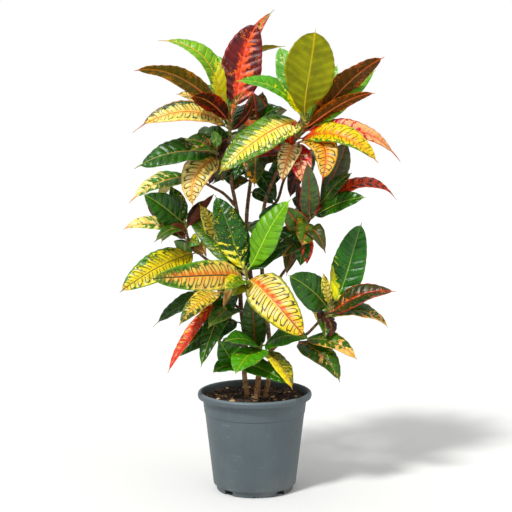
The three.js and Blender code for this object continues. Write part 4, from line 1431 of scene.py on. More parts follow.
# The leaves that have none. Those of one part of the plant are one piece.
MORE_LEAVES: dict[str, list[Leaf]] = {
    "left_crown": [
        Leaf("left_main", 40, (-149, -20, 683), (0, -0.5, 0.85), 46, 14, 10, Kind.DARK_OLIVE),
        Leaf("left_main", 10, (-74, 60, 797), (0.3, -0.8, 0.5), 36, 12, 14, Kind.PALE),
        Leaf("left_main", 28, (-143, 40, 724), (0, -0.6, 0.8), 36, 14, 12, Kind.GOLD),
        Leaf("left_main", 36, (-17, -60, 729), (-0.5, -0.7, 0.5), 26, 8, 14, Kind.PINK_STRIPE),
        Leaf("left_main", 44, (-6, -50, 720), (-0.5, -0.7, 0.4), 22, -12, 14, Kind.MAROON),
        Leaf("left_main", 60, (-74, 8, 591), (-0.2, -0.8, 0.5), 36, 10, 12, Kind.MAROON, blunt=0.2),
        Leaf("left_main", 72, (-69, 40, 622), (-0.3, -0.8, 0.5), 38, 8, 12, Kind.DARK_OLIVE, blunt=0.2),
        Leaf("left_main", 64, (-95, 44, 648), (-0.1, -0.7, 0.7), 34, 12, 12, Kind.GREEN, blunt=0.2),
    ],
    "right_crown": [
        Leaf("right_main", 11, (151, 40, 776), (-0.2, -0.8, 0.5), 44, 8, 12, Kind.PALE),
        Leaf("right_main", 19, (216, -10, 766), (-0.2, -0.85, 0.5), 56, 12, 10, Kind.BRIGHT),
        Leaf("right_main", 33, (168, 60, 700), (0, -0.6, 0.8), 40, 12, 10, Kind.DARK_GREEN),
        Leaf("right_main", 57, (48, -72, 570), (-0.15, -0.95, 0.25), 40, 16, 14, Kind.CREAM),
        Leaf("right_main", 68, (72, -60, 678), (-0.3, -0.9, 0.2), 20, 4, 16, Kind.CORAL),
        Leaf("right_main", 75, (2, -30, 612), (-0.2, -0.7, 0.7), 40, 10, 10, Kind.CORAL),
        Leaf("right_main", 84, (84, 20, 612), (0.0, -0.95, 0.3), 40, 6, 10, Kind.DARK_GREEN, blunt=0.2),
        Leaf("right_main", 80, (13, 16, 601), (-0.2, -0.85, 0.5), 38, 8, 12, Kind.MAROON_FLECK, blunt=0.2),
    ],
    "middle_right": [
        Leaf("right_side", 2, (168, 10, 639), (0.45, -0.88, 0.1), 52, 4, 10, Kind.DARK_OLIVE, widest=0.66),
        Leaf("right_side", 62, (-5, -20, 412), (-0.3, -0.8, 0.5), 50, 8, 8, Kind.DARK_GREEN),
        Leaf("right_side", 70, (82, -25, 417), (0, -0.7, 0.7), 30, 8, 14, Kind.GREEN),
        Leaf("right_side", 19, (174, 20, 548), (-0.2, -0.8, 0.5), 32, 6, 12, Kind.RED_BARS),
        Leaf("right_side", 34, (75, -40, 572), (-0.3, -0.9, 0.2), 20, 6, 12, Kind.MAROON),
        Leaf("right_side", 9, (67, -10, 536), (-0.2, -0.9, 0.3), 38, 6, 12, Kind.DARK_GREEN),
        Leaf("right_side", 56, (52, -40, 526), (-0.2, -0.9, 0.3), 40, 6, 10, Kind.GREEN_ORANGE),
        Leaf("right_side", 60, (126, -55, 443), (0, -0.7, 0.7), 34, 28, 14, Kind.DARK_OLIVE),
        Leaf("right_side", 66, (94, -30, 421), (0.2, -0.95, 0.2), 26, 5, 14, Kind.RED_BARS, widest=0.45),
        Leaf("right_side", 74, (50, -45, 435), (-0.3, -0.8, 0.4), 40, 8, 8, Kind.DARK_ORANGE, widest=0.45),
        Leaf("right_back", 12, (105, 40, 578), (0.2, -0.9, 0.3), 40, 6, 10, Kind.DARK_GREEN, blunt=0.2),
        Leaf("right_back", 20, (65, 40, 536), (0, -0.95, 0.2), 30, 4, 14, Kind.MAROON, blunt=0.1),
    ],
    "middle": [
        Leaf("centre_main", 4, (-3, -10, 727), (0, -0.9, 0.4), 44, 6, 12, Kind.DARK_RED),
        Leaf("centre_main", 9, (47, -20, 699), (-0.2, -0.8, 0.6), 40, 8, 12, Kind.DARK_GREEN),
        Leaf("centre_main", 14, (59, 30, 695), (-0.3, -0.7, 0.6), 40, 10, 12, Kind.DARK_OLIVE),
        Leaf("centre_main", 70, (-37, -20, 571), (-0.2, -0.7, 0.7), 40, 12, 10, Kind.DARK_GREEN),
        Leaf("centre_main", 60, (0, -60, 561), (0, -0.85, 0.5), 50, 14, 10, Kind.DARK_ORANGE),
        Leaf("centre_main", 85, (-77, 10, 562), (-0.2, -0.7, 0.7), 34, 10, 10, Kind.DARK_GREEN),
        Leaf("centre_main", 118, (-40, 20, 547), (-0.1, -0.7, 0.7), 22, 10, 14, Kind.DARK_OLIVE),
        Leaf("centre_main", 100, (39, 10, 529), (0.1, -0.8, 0.6), 36, 8, 10, Kind.DARK_GREEN),
        Leaf("right_main", 230, (46, 0, 528), (0, -0.95, 0.3), 42, 6, 10, Kind.DARK_GREEN),
        Leaf("right_back", 10, (14, 70, 536), (-0.2, -0.8, 0.5), 36, 6, 10, Kind.DARK_GREEN),
        Leaf("centre_main", 20, (31, 25, 706), (0.1, -0.95, 0.3), 36, 4, 8, Kind.DARK_GREEN, blunt=0.5),
        Leaf("centre_main", 26, (-5, 34, 720), (-0.1, -0.9, 0.4), 40, 6, 10, Kind.DARK_ORANGE, blunt=0.3),
        Leaf("centre_main", 30, (-21, 24, 693), (-0.2, -0.9, 0.4), 34, 6, 12, Kind.PINK_STRIPE, blunt=0.3),
        Leaf("centre_main", 36, (15, 52, 728), (0.0, -0.9, 0.4), 36, 6, 10, Kind.MAROON_FLECK, blunt=0.3),
        Leaf("centre_main", 75, (-32, -6, 575), (-0.1, -0.85, 0.5), 38, 8, 8, Kind.DARK_GREEN, blunt=0.2),
        Leaf("centre_main", 82, (-56, 30, 568), (-0.2, -0.8, 0.5), 40, 10, 8, Kind.DARK_GREEN, blunt=0.2),
        Leaf("centre_main", 140, (35, 30, 524), (0.2, -0.9, 0.3), 26, 8, 12, Kind.DARK_GREEN, blunt=0.2),
        Leaf("centre_main", 66, (-16, 14, 571), (0.1, -0.9, 0.4), 34, 8, 8, Kind.DARK_GREEN, blunt=0.2),
        Leaf("centre_main", 90, (6, 34, 562), (0.1, -0.9, 0.4), 30, 8, 8, Kind.MAROON_FLECK, blunt=0.2),
    ],
    "upper_left": [
        Leaf("left_upper", 4, (-122, -60, 644), (-0.1, -0.8, 0.5), 38, 8, 22, Kind.GREEN_PINK),
        Leaf("left_upper", 1, (-76, -10, 660), (0.3, -0.9, 0.4), 22, 3, 16, Kind.PALE),
        Leaf("left_upper", 14, (-113, -80, 625), (-0.2, -0.7, 0.7), 30, 8, 10, Kind.GREEN_PINK),
        Leaf("left_side", 12, (-109, 60, 542), (-0.2, -0.5, 0.8), 36, 10, 10, Kind.MAROON),
        Leaf("left_upper", 10, (-57, 0, 568), (-0.1, -0.9, 0.4), 34, 6, 8, Kind.DARK_OLIVE, blunt=0.2),
        Leaf("left_upper", 18, (-83, 24, 561), (-0.1, -0.9, 0.4), 26, 6, 8, Kind.MAROON, blunt=0.2),
        Leaf("left_upper", 26, (-41, 30, 557), (0.1, -0.9, 0.4), 26, 6, 8, Kind.DARK_GREEN, blunt=0.2),
    ],
    "middle_left": [
        Leaf("left_middle", 8, (-154, 20, 558), (0.3, -0.9, 0.3), 36, 6, 12, Kind.DARK_YELLOW),
        Leaf("left_middle", 13, (-74, 30, 543), (0.2, -0.8, 0.5), 16, 8, 10, Kind.RUST),
        Leaf("left_middle", 17, (-197, 10, 527), (-0.3, -0.8, 0.5), 40, 8, 10, Kind.MAROON_FLECK),
        Leaf("left_middle", 23, (-178, -55, 463), (-0.3, -0.8, 0.5), 30, 16, 14, Kind.GREEN_PINK),
        Leaf("left_middle", 28, (-155, -25, 489), (0, -0.8, 0.6), 30, 4, 20, Kind.RUST, widest=0.4),
        Leaf("left_middle", 40, (-97, -20, 454), (0.2, -0.95, 0.2), 30, 8, 10, Kind.GREEN_FLECK),
        Leaf("left_middle", 46, (-107, 10, 452), (0.2, -0.95, 0.2), 26, 6, 10, Kind.MAROON),
        Leaf("left_middle", 74, (-87, -15, 432), (0, -0.7, 0.6), 36, 22, 24, Kind.DEAD,
             widest=0.45, twist=60),
        Leaf("left_middle", 10, (-89, 40, 531), (0.1, -0.9, 0.4), 24, 6, 8, Kind.MAROON, blunt=0.1),
    ],
    "front": [
        Leaf("front", 16, (-48, 10, 527), (0.1, -0.9, 0.4), 46, 8, 8, Kind.DARK_GREEN),
        Leaf("front", 28, (-51, -110, 380), (-0.2, -0.8, 0.5), 42, 12, 18, Kind.LIME_DARK),
        Leaf("front", 33, (-40, -80, 370), (-0.1, -0.85, 0.5), 36, 10, 12, Kind.OLIVE),
        Leaf("front", 6, (61, -36, 456), (-0.3, -0.7, 0.65), 46, 8, 10, Kind.DARK_GREEN, widest=0.55),
        Leaf("front", 15, (-128, 34, 511), (0.3, -0.9, 0.2), 42, 6, 8, Kind.GREEN_FLECK),
    ],
    "lower_right": [
        Leaf("right_low", 6, (123, -45, 406), (0.1, -0.95, 0.2), 22, 4, 10, Kind.YELLOW_DASH),
        Leaf("right_low", 9, (202, 15, 418), (-0.2, -0.8, 0.6), 40, 8, 10, Kind.GREEN),
        Leaf("right_low", 38, (126, -60, 293), (0.2, -0.95, 0.2), 28, 6, 14, Kind.GREEN_PINK, widest=0.45),
        Leaf("right_low", 31, (135, -50, 291), (0.6, -0.8, 0.2), 30, 8, 10, Kind.MAROON, widest=0.45),
        Leaf("right_low", 48, (140, 50, 309), (0.1, -0.7, 0.7), 34, 8, 10, Kind.MAROON),
        Leaf("right_low", 7, (201, 20, 418), (-0.2, -0.7, 0.7), 24, 8, 8, Kind.DARK_GREEN, blunt=0.1),
    ],
    "foot": [
        Leaf("foot_front", 6, (-53, -90, 291), (-0.1, -0.65, 0.75), 46, 10, 8, Kind.FRESH),
        Leaf("foot_front", 20, (-8, -50, 376), (0.1, -0.95, 0.3), 46, 6, 8, Kind.DARK_PINK),
        Leaf("foot_left", 1, (59, -70, 210), (0.1, -0.7, 0.7), 42, 10, 8, Kind.FRESH),
        Leaf("foot_left", 5, (-75, -45, 226), (0, -0.55, 0.85), 40, 8, 8, Kind.FRESH),
        Leaf("foot_left", 9, (-65, -40, 284), (-0.3, -0.8, 0.4), 46, 6, 10, Kind.FRESH),
    ],
    "lower_left": [
        Leaf("left_low", 20, (-89, -40, 349), (0, -0.3, 0.9), 26, 6, 14, Kind.GREEN),
        Leaf("left_low", 26, (-39, -40, 341), (0, -0.9, 0.3), 30, 6, 14, Kind.DARK_GREEN),
        Leaf("left_main", 342, (-96, -75, 241), (-0.4, -0.85, 0.3), 48, 14, 8, Kind.GREEN),
        Leaf("left_main", 306, (-57, -50, 339), (0, -0.6, 0.7), 22, 8, 26, Kind.DEAD, widest=0.45, twist=40),
    ],
    "rear": [
        Leaf("right_main", 45, (150, 110, 690), (0.2, 0.4, 0.9), 44, 18, 10, Kind.MAROON_BACK, blunt=0.2),
        Leaf("left_main", 70, (-110, 115, 640), (-0.1, 0.6, 0.8), 40, 16, 12, Kind.DARK_GREEN, blunt=0.3),
        Leaf("centre_main", 55, (60, 120, 600), (0.1, 0.5, 0.85), 42, 24, 8, Kind.GREEN_FLECK, blunt=0.2),
        Leaf("left_side", 35, (-150, 100, 560), (-0.2, 0.3, 0.9), 38, 14, 12, Kind.GREEN_GOLD, blunt=0.2),
        Leaf("centre_main", 300, (-60, 120, 340), (-0.1, 0.5, 0.85), 50, 28, 8, Kind.DARK_GREEN, blunt=0.3),
        Leaf("right_low", 50, (120, 110, 290), (0.2, 0.4, 0.9), 40, 18, 10, Kind.YELLOW_DASH, blunt=0.2),
        Leaf("left_low", 40, (-70, 100, 250), (-0.1, 0.4, 0.9), 44, 16, 10, Kind.GREEN, blunt=0.3),
        Leaf("left_middle", 45, (-130, 110, 400), (-0.2, 0.6, 0.75), 42, 20, 12, Kind.GREEN, blunt=0.2),
        Leaf("right_side", 80, (60, 115, 380), (0.1, 0.5, 0.85), 46, 26, 8, Kind.DARK_OLIVE, blunt=0.2),
        Leaf("left_main", 56, (-30, 120, 620), (0.1, 0.7, 0.7), 38, 12, 10, Kind.CREAM_GREEN, blunt=0.2),
        Leaf("left_main", 48, (-10, 150, 690), (0, 0.5, 0.85), 48, 22, 9, Kind.GREEN),
        Leaf("right_main", 60, (90, 150, 650), (0, 0.5, 0.85), 48, 22, 9, Kind.DARK_OLIVE),
        Leaf("left_middle", 20, (-180, 140, 440), (0, 0.5, 0.85), 48, 22, 9, Kind.GREEN_FLECK),
        Leaf("right_side", 40, (95, 150, 470), (0, 0.5, 0.85), 48, 22, 9, Kind.DARK_GREEN),
        Leaf("left_main", 300, (-70, 150, 330), (0, 0.5, 0.85), 48, 22, 9, Kind.YELLOW_DASH),
        Leaf("right_main", 400, (80, 150, 260), (0, 0.5, 0.85), 48, 22, 9, Kind.GREEN),
        Leaf("left_main", 450, (-60, 110, 215), (0, 0.5, 0.85), 48, 22, 9, Kind.DARK_GREEN),
    ],
}


# ---- stems ----------------------------------------------------------------------------------
@dataclass
class Stems:
    """The three woody cuttings with their side shoots. A mesh carries greenness, distance and leaf scars."""

    sides: int = 18
    step: float = 3.0
    start: float = 150.0
    scar_gap: tuple[float, float] = (9.0, 17.0)
    scar_height: float = 0.09
    scar_width: float = 0.9
    crowded_tip: float = 60.0
    crowding: float = 0.45
    uneven: float = 0.05
    collar: float = 0.35
    collar_at: float = 4.0
    collar_width: float = 5.0
    young_main: tuple[float, float] = (25.0, 80.0)
    young_side: tuple[float, float] = (8.0, 30.0)
    bud: float = 5.0

    FEWEST_STEPS = 6
    BUD_SHAPE = ((0.35, 0.82), (0.7, 0.5), (1.0, 0.16))
    LICHEN = rgb("8c8a6a")
    CRACK = rgb("2c1a10")
    SCAR = rgb("4a3018")
    RELIEF = 1.2 * MM

    def dress(self) -> bpy.types.Material:
        """Bark: brown and cracked at the soil, green where the shoots are still growing.

        Returns:
            The material.
        """
        paint = Paint("bark")
        green, _, scar = paint.attribute("age")
        place = paint.place()
        x, y, z = paint.split(place)
        fine = paint.noise(place, 420, 4, 0.65)
        streaks = paint.noise(paint.vector(x * 520, y * 520, z * 60), 1.0, 4, 0.6)
        patches = paint.noise(place, 70, 3, 0.55)
        wood = paint.ramp(streaks, (0.3, rgb("3c2413")), (0.5, rgb("6e4628")), (0.72, rgb("9a7448")))
        foot = paint.ramp(streaks, (0.3, rgb("6a4226")), (0.5, rgb("a67448")), (0.72, rgb("c8a070")))
        young = paint.ramp(streaks, (0.3, rgb("5c6c1c")), (0.55, rgb("8a9630")), (0.8, rgb("b0b04c")))
        wood = paint.mix(1 - (z * 10).rise(1.9, 3.2), wood, foot)
        wood = paint.mix(patches.rise(0.5, 0.66) * 0.55, wood, self.LICHEN)
        wood = paint.mix(fine.rise(0.62, 0.72) * 0.5, wood, self.CRACK)
        colour = paint.mix((green + (patches - 0.5) * 0.5).rise(0.35, 0.75), wood, young)
        colour = paint.mix(scar * 0.55, colour, self.SCAR)
        height = streaks * 0.7 + fine * 0.4 + scar * 0.4
        relief = paint.bump(height * (1 - green * 0.6), 0.7, self.RELIEF)
        return paint.finish(colour, 0.82 - green * 0.3 + fine * 0.1, relief)

    def scars(self, chance: random.Random, begin: float, length: float) -> list[float]:
        """Where a shoot's leaf scars are, closer together near its tip.

        Args:
            chance: the shoot's random numbers.
            begin: where the shoot begins to show.
            length: its length.

        Returns:
            The scars' distances from the shoot's foot.
        """
        found = []
        spot = begin + chance.uniform(*self.scar_gap)
        while spot < length:
            found.append(spot)
            crowded = self.crowding if length - spot < self.crowded_tip else 1.0
            spot += chance.uniform(*self.scar_gap) * crowded
        return found

    def shoot(self, maker: bmesh.types.BMesh, name: str, layer: bmesh.types.BMLayerItem, main: bool) -> None:
        """Adds one shoot as a closed tube.

        Args:
            maker: the stem's mesh.
            name: the shoot's name.
            layer: the vector layer for greenness, distance and leaf scars.
            main: whether it stands in the soil rather than on another shoot.
        """
        shoot = GROWN[name]
        chance = random.Random(name)
        length = shoot.length
        begin = 0.0
        while main and shoot.at(begin / length).z < self.start:
            begin += 1
        scars = self.scars(chance, begin, length)
        steps = max(self.FEWEST_STEPS, int((length - begin) / self.step))
        even = {begin + (length - begin) * i / steps for i in range(steps + 1)}
        round_scars = {s + d for s in scars for d in (-1.0, 0.0, 1.0) if begin < s + d < length}
        side = Vector((1, 0, 0))
        rings = []
        drift = chance.uniform(0, 50)
        for stop in sorted(even | round_scars):
            share = stop / length
            along = shoot.along(share)
            side = (side - along * side.dot(along)).normalized()
            left = length - stop
            scar = max([0.0] + [math.exp(-(((stop - s) / self.scar_width) ** 2)) for s in scars])
            radius = shoot.radius(left) * (1 + self.scar_height * scar)
            radius *= 1 + self.uneven * noise.noise(Vector((stop * 0.11, drift, 0)))
            if not main:
                radius *= 1 + self.collar * math.exp(-(((stop - self.collar_at) / self.collar_width) ** 2))
            green = 1 - smoothstep(*(self.young_main if main else self.young_side), left)
            rings.append(Ring(metres(shoot.at(share)), side, along, radius * MM, (green, stop / 10, scar)))
        last = rings[-1]
        for part, shrink in self.BUD_SHAPE:
            centre = last.centre + last.along * self.bud * part * MM
            rings.append(Ring(centre, last.side, last.along, last.radius * shrink, (1, length / 10, 0)))
        tube(maker, rings, self.sides, layer)

    def build(self) -> list[bpy.types.Object]:
        """Makes each cutting as one piece.

        Returns:
            The three pieces.
        """
        bark = self.dress()
        pieces = []
        for name, shoots in STEMS.items():
            maker = bmesh.new()
            layer = maker.verts.layers.float_vector.new("age")
            for i, shoot in enumerate(shoots):
                self.shoot(maker, shoot, layer, i == 0)
            piece = finished(name, maker, [bark])
            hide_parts(name)
            pieces.append(piece)
        return pieces


# ---- pot and soil ---------------------------------------------------------------------------
def rounded(corners: list[tuple[float, float, float]], steps: int = 5) -> list[tuple[float, float]]:
    """Rounds a section's corners.

    Args:
        corners: radius, height and corner radius of each.
        steps: how many steps each rounding takes.

    Returns:
        The section's points.
    """
    points = []
    for i, (r, z, size) in enumerate(corners):
        if not size:
            points.append((r, z))
            continue
        here = Vector((r, z))
        before = Vector(corners[i - 1][:2]) - here
        after = Vector(corners[i + 1][:2]) - here
        cut = min(size, before.length * 0.45, after.length * 0.45)
        a, b = here + before.normalized() * cut, here + after.normalized() * cut
        for k in range(steps + 1):
            t = k / steps
            p = a * (1 - t) ** 2 + here * 2 * t * (1 - t) + b * t * t
            points.append((p.x, p.y))
    return points


@dataclass
class Pot:
    """A thin-walled nursery pot: rolled lip, stepped band, raised floor and notched foot."""

    rim: float = 105.0
    height: float = 183.0
    lip: float = 12.0
    mouth: float = 97.8
    neck: float = 95.6
    band: float = 143.5
    band_step: float = 0.9
    body_foot: float = 76.3
    foot_height: float = 11.5
    foot: float = 69.5
    foot_wall: float = 3.2
    wall: float = 1.8
    floor: float = 2.6
    steps: int = 144
    wide_notches: tuple[int, ...] = (42, 138, 222, 318)
    wide_notch: tuple[float, float] = (19.0, 8.6)
    small_notches: tuple[int, ...] = (0, 90, 180, 270)
    small_notch: tuple[float, float] = (4.0, 3.0)
    notch_depth: float = 20.0
    drains: int = 8
    drain_circle: float = 48.0
    drain: float = 5.0
    middle_drain: float = 7.0
    drain_sides: int = 28
    drain_depth: float = 30.0
    sharp_from: float = 32.0
    # Painted shade under the lip and under the band's step: how far it reaches in millimetres, and how dark
    # it is as a share.
    lip_shade: tuple[float, float] = (2.2, 0.6)
    band_shade: tuple[float, float] = (1.1, 0.5)
    dusty: float = 50.0

    PLASTIC = (rgb("455156"), rgb("4d5a5f"))
    STREAK = rgb("8a999e")
    SCUFF = rgb("a9b4b6")
    # Painted shade under the lip and under the band's step.
    CREASE_SHADE = rgb("2a3236")
    # Painted highlight along the lip's top.
    LIP_HIGHLIGHT = rgb("87959a")
    DUST = rgb("8c8474")
    DARK_SPECK = rgb("38434a")
    PALE_SPECK = rgb("7c8a90")
    # Painted shade inside the pot.
    INSIDE_SHADE = rgb("2b2d2b")
    RELIEF = 0.6 * MM

    @property
    def low(self) -> float:
        """The height of the lip's lower edge."""
        return self.height - self.lip

    @property
    def floor_top(self) -> float:
        """The height of the floor's upper face."""
        return self.foot_height + self.floor

    @property
    def slope(self) -> float:
        """How much the body's radius grows with height."""
        return (self.neck - self.body_foot) / (self.low - self.foot_height)

    def radius(self, z: float) -> float:
        """The body's outer radius at a height."""
        return self.body_foot + self.slope * (z - self.foot_height)

    def profile(self) -> list[tuple[float, float]]:
        """The section, from the axis below the floor, round the lip, to the axis above the floor.

        Returns:
            Radius and height of each point.
        """
        low, top, in_foot = self.low, self.floor_top, self.foot - self.foot_wall
        under_floor = [(0, self.foot_height, 0), (in_foot, self.foot_height, 0.6), (in_foot, 0, 0.5)]
        outside = [
            (self.foot, 0, 0.6),
            (self.foot + 2.4, self.foot_height - 0.4, 0.8),
            (self.body_foot - 0.3, self.foot_height, 1.3),
            (self.radius(self.band) - self.band_step, self.band, 0.35),
            (self.radius(self.band) + 0.1, self.band + 0.9, 0.5),
            (self.neck, low, 1.2),
        ]
        lip = [
            (self.rim - 1.4, low + 0.4, 1.4),
            (self.rim, low + 5.2, 2.5),
            (self.rim - 1.0, low + 10, 2.4),
            (self.rim - 4.2, self.height, 2.2),
            (self.mouth + 0.4, self.height, 1.6),
            (self.mouth - 1.4, low + 4, 2),
        ]
        inside = [(self.neck - self.wall, low - 4, 3), (self.radius(top) - self.wall, top, 2), (0, top, 0)]
        return rounded(under_floor + outside + lip + inside)

    def dress(self) -> bpy.types.Material:
        """Matt grey-blue moulded plastic, dusty and scuffed, with painted shade inside and under the lip and
        the band, and a painted highlight on the lip's top.

        Returns:
            The material.
        """
        paint = Paint("pot_plastic")
        place = paint.place()
        x, y, z = paint.split(place)
        cloud = paint.noise(place, 14, 4, 0.55)
        speckle = paint.noise(place, 480, 3, 0.6)
        drag = paint.noise(paint.vector(x * 30, y * 30, z * 260), 1.0, 4, 0.6)
        upright = paint.noise(paint.vector(x * 120, y * 120, z * 9), 1.0, 3, 0.5)
        scuff = drag.rise(0.6, 0.7) * paint.noise(place, 42, 2).rise(0.5, 0.62)
        colour = paint.mix(cloud.rise(0.3, 0.72), *self.PLASTIC)
        colour = paint.mix(upright.rise(0.5, 0.8) * 0.04, colour, self.STREAK)
        colour = paint.mix(scuff * 0.16, colour, self.SCUFF)
        # Painted shade: darker lines just under the lip and just under the band's step.
        shaded_lines = ((self.low - 0.4, self.lip_shade), (self.band - 0.1, self.band_shade))
        for height, (reach, depth) in shaded_lines:
            painted_shade = 1 - abs(z - height * MM).rise(0.2 * MM, reach * MM)
            colour = paint.mix(painted_shade * depth, colour, self.CREASE_SHADE)
        # Painted highlight: the top few millimetres of the lip drawn lighter.
        lip_highlight = z.rise((self.height - 4.5) * MM, (self.height - 1) * MM)
        colour = paint.mix(lip_highlight * 0.3, colour, self.LIP_HIGHLIGHT)
        dust = (1 - z.rise(0.0, self.dusty * MM)) * cloud.rise(0.35, 0.7)
        colour = paint.mix(dust * 0.25, colour, self.DUST)
        colour = paint.mix(speckle.rise(0.62, 0.72) * 0.3, colour, self.DARK_SPECK)
        colour = paint.mix((1 - speckle.rise(0.3, 0.38)) * 0.25, colour, self.PALE_SPECK)

        # Painted shade inside the pot: below the lip everything within the wall, and at the lip everything
        # within the mouth.
        across = ((x - POT_AXIS.x) ** 2 + (y - POT_AXIS.y) ** 2) ** 0.5
        inner = self.radius(0) - self.wall
        above_floor = z.rise(self.floor_top * MM, (self.floor_top + 6) * MM)
        wall = (1 - (across - z * self.slope).rise((inner + 0.1) * MM, (inner + 0.7) * MM)) * above_floor
        at_lip = z.rise((self.low - 1) * MM, (self.low + 2) * MM)
        mouth = (1 - across.rise((self.mouth - 2) * MM, self.mouth * MM)) * at_lip
        colour = paint.mix(wall.most(mouth) * 0.75, colour, self.INSIDE_SHADE)
        relief = paint.bump(speckle * 0.4 + cloud * 0.6 + upright * 0.3, 0.25, self.RELIEF)
        return paint.finish(colour, cloud * 0.16 + scuff * 0.1 + 0.42, relief)

    def cuts(self) -> bmesh.types.BMesh:
        """What is cut out: the notches of the foot and the drain holes.

        Returns:
            Boxes and rods where the pot is open.
        """
        cuts = bmesh.new()
        notches = [(angle, *self.wide_notch) for angle in self.wide_notches]
        notches += [(angle, *self.small_notch) for angle in self.small_notches]
        for angle, width, height in notches:
            turn = Matrix.Translation(POT_AXIS) @ Matrix.Rotation(math.radians(angle), 4, "Z")
            size = Matrix.Diagonal((width * MM, self.notch_depth * MM, height * 2 * MM, 1))
            at = turn @ Matrix.Translation((0, -self.foot * MM, 0)) @ size
            bmesh.ops.create_cube(cuts, size=1.0, matrix=at)
        places = [(0.0, 0.0, self.middle_drain)]
        for i in range(self.drains):
            angle = (i + 0.5) * math.tau / self.drains
            across, deep = self.drain_circle * math.cos(angle), self.drain_circle * math.sin(angle)
            places.append((across, deep, self.drain))
        for x, y, r in places:
            at = Matrix.Translation(metres((x, y, self.foot_height)))
            bmesh.ops.create_cone(cuts, cap_ends=True, segments=self.drain_sides, radius1=r * MM,
                                  radius2=r * MM, depth=self.drain_depth * MM, matrix=at)
        return cuts

    def build(self) -> bpy.types.Object:
        """Turns the section and cuts the notches and drain holes.

        Returns:
            The pot.
        """
        maker = bmesh.new()
        turned(maker, self.profile(), self.steps)
        bmesh.ops.recalc_face_normals(maker, faces=maker.faces)
        pot = finished("pot", maker, [self.dress()])
        cutter = finished("pot_cuts", self.cuts(), [])
        cutting = pot.modifiers.new("cut", "BOOLEAN")
        cutting.operation = "DIFFERENCE"
        cutting.solver = "EXACT"
        cutting.object = cutter
        bpy.context.view_layer.update()
        shaped = bpy.data.meshes.new_from_object(pot.evaluated_get(bpy.context.evaluated_depsgraph_get()))
        pot.modifiers.clear()
        pot.data = shaped
        bpy.data.objects.remove(cutter)
        shaped.shade_smooth()
        shaped.set_sharp_from_angle(angle=math.radians(self.sharp_from))
        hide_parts("pot")
        return pot


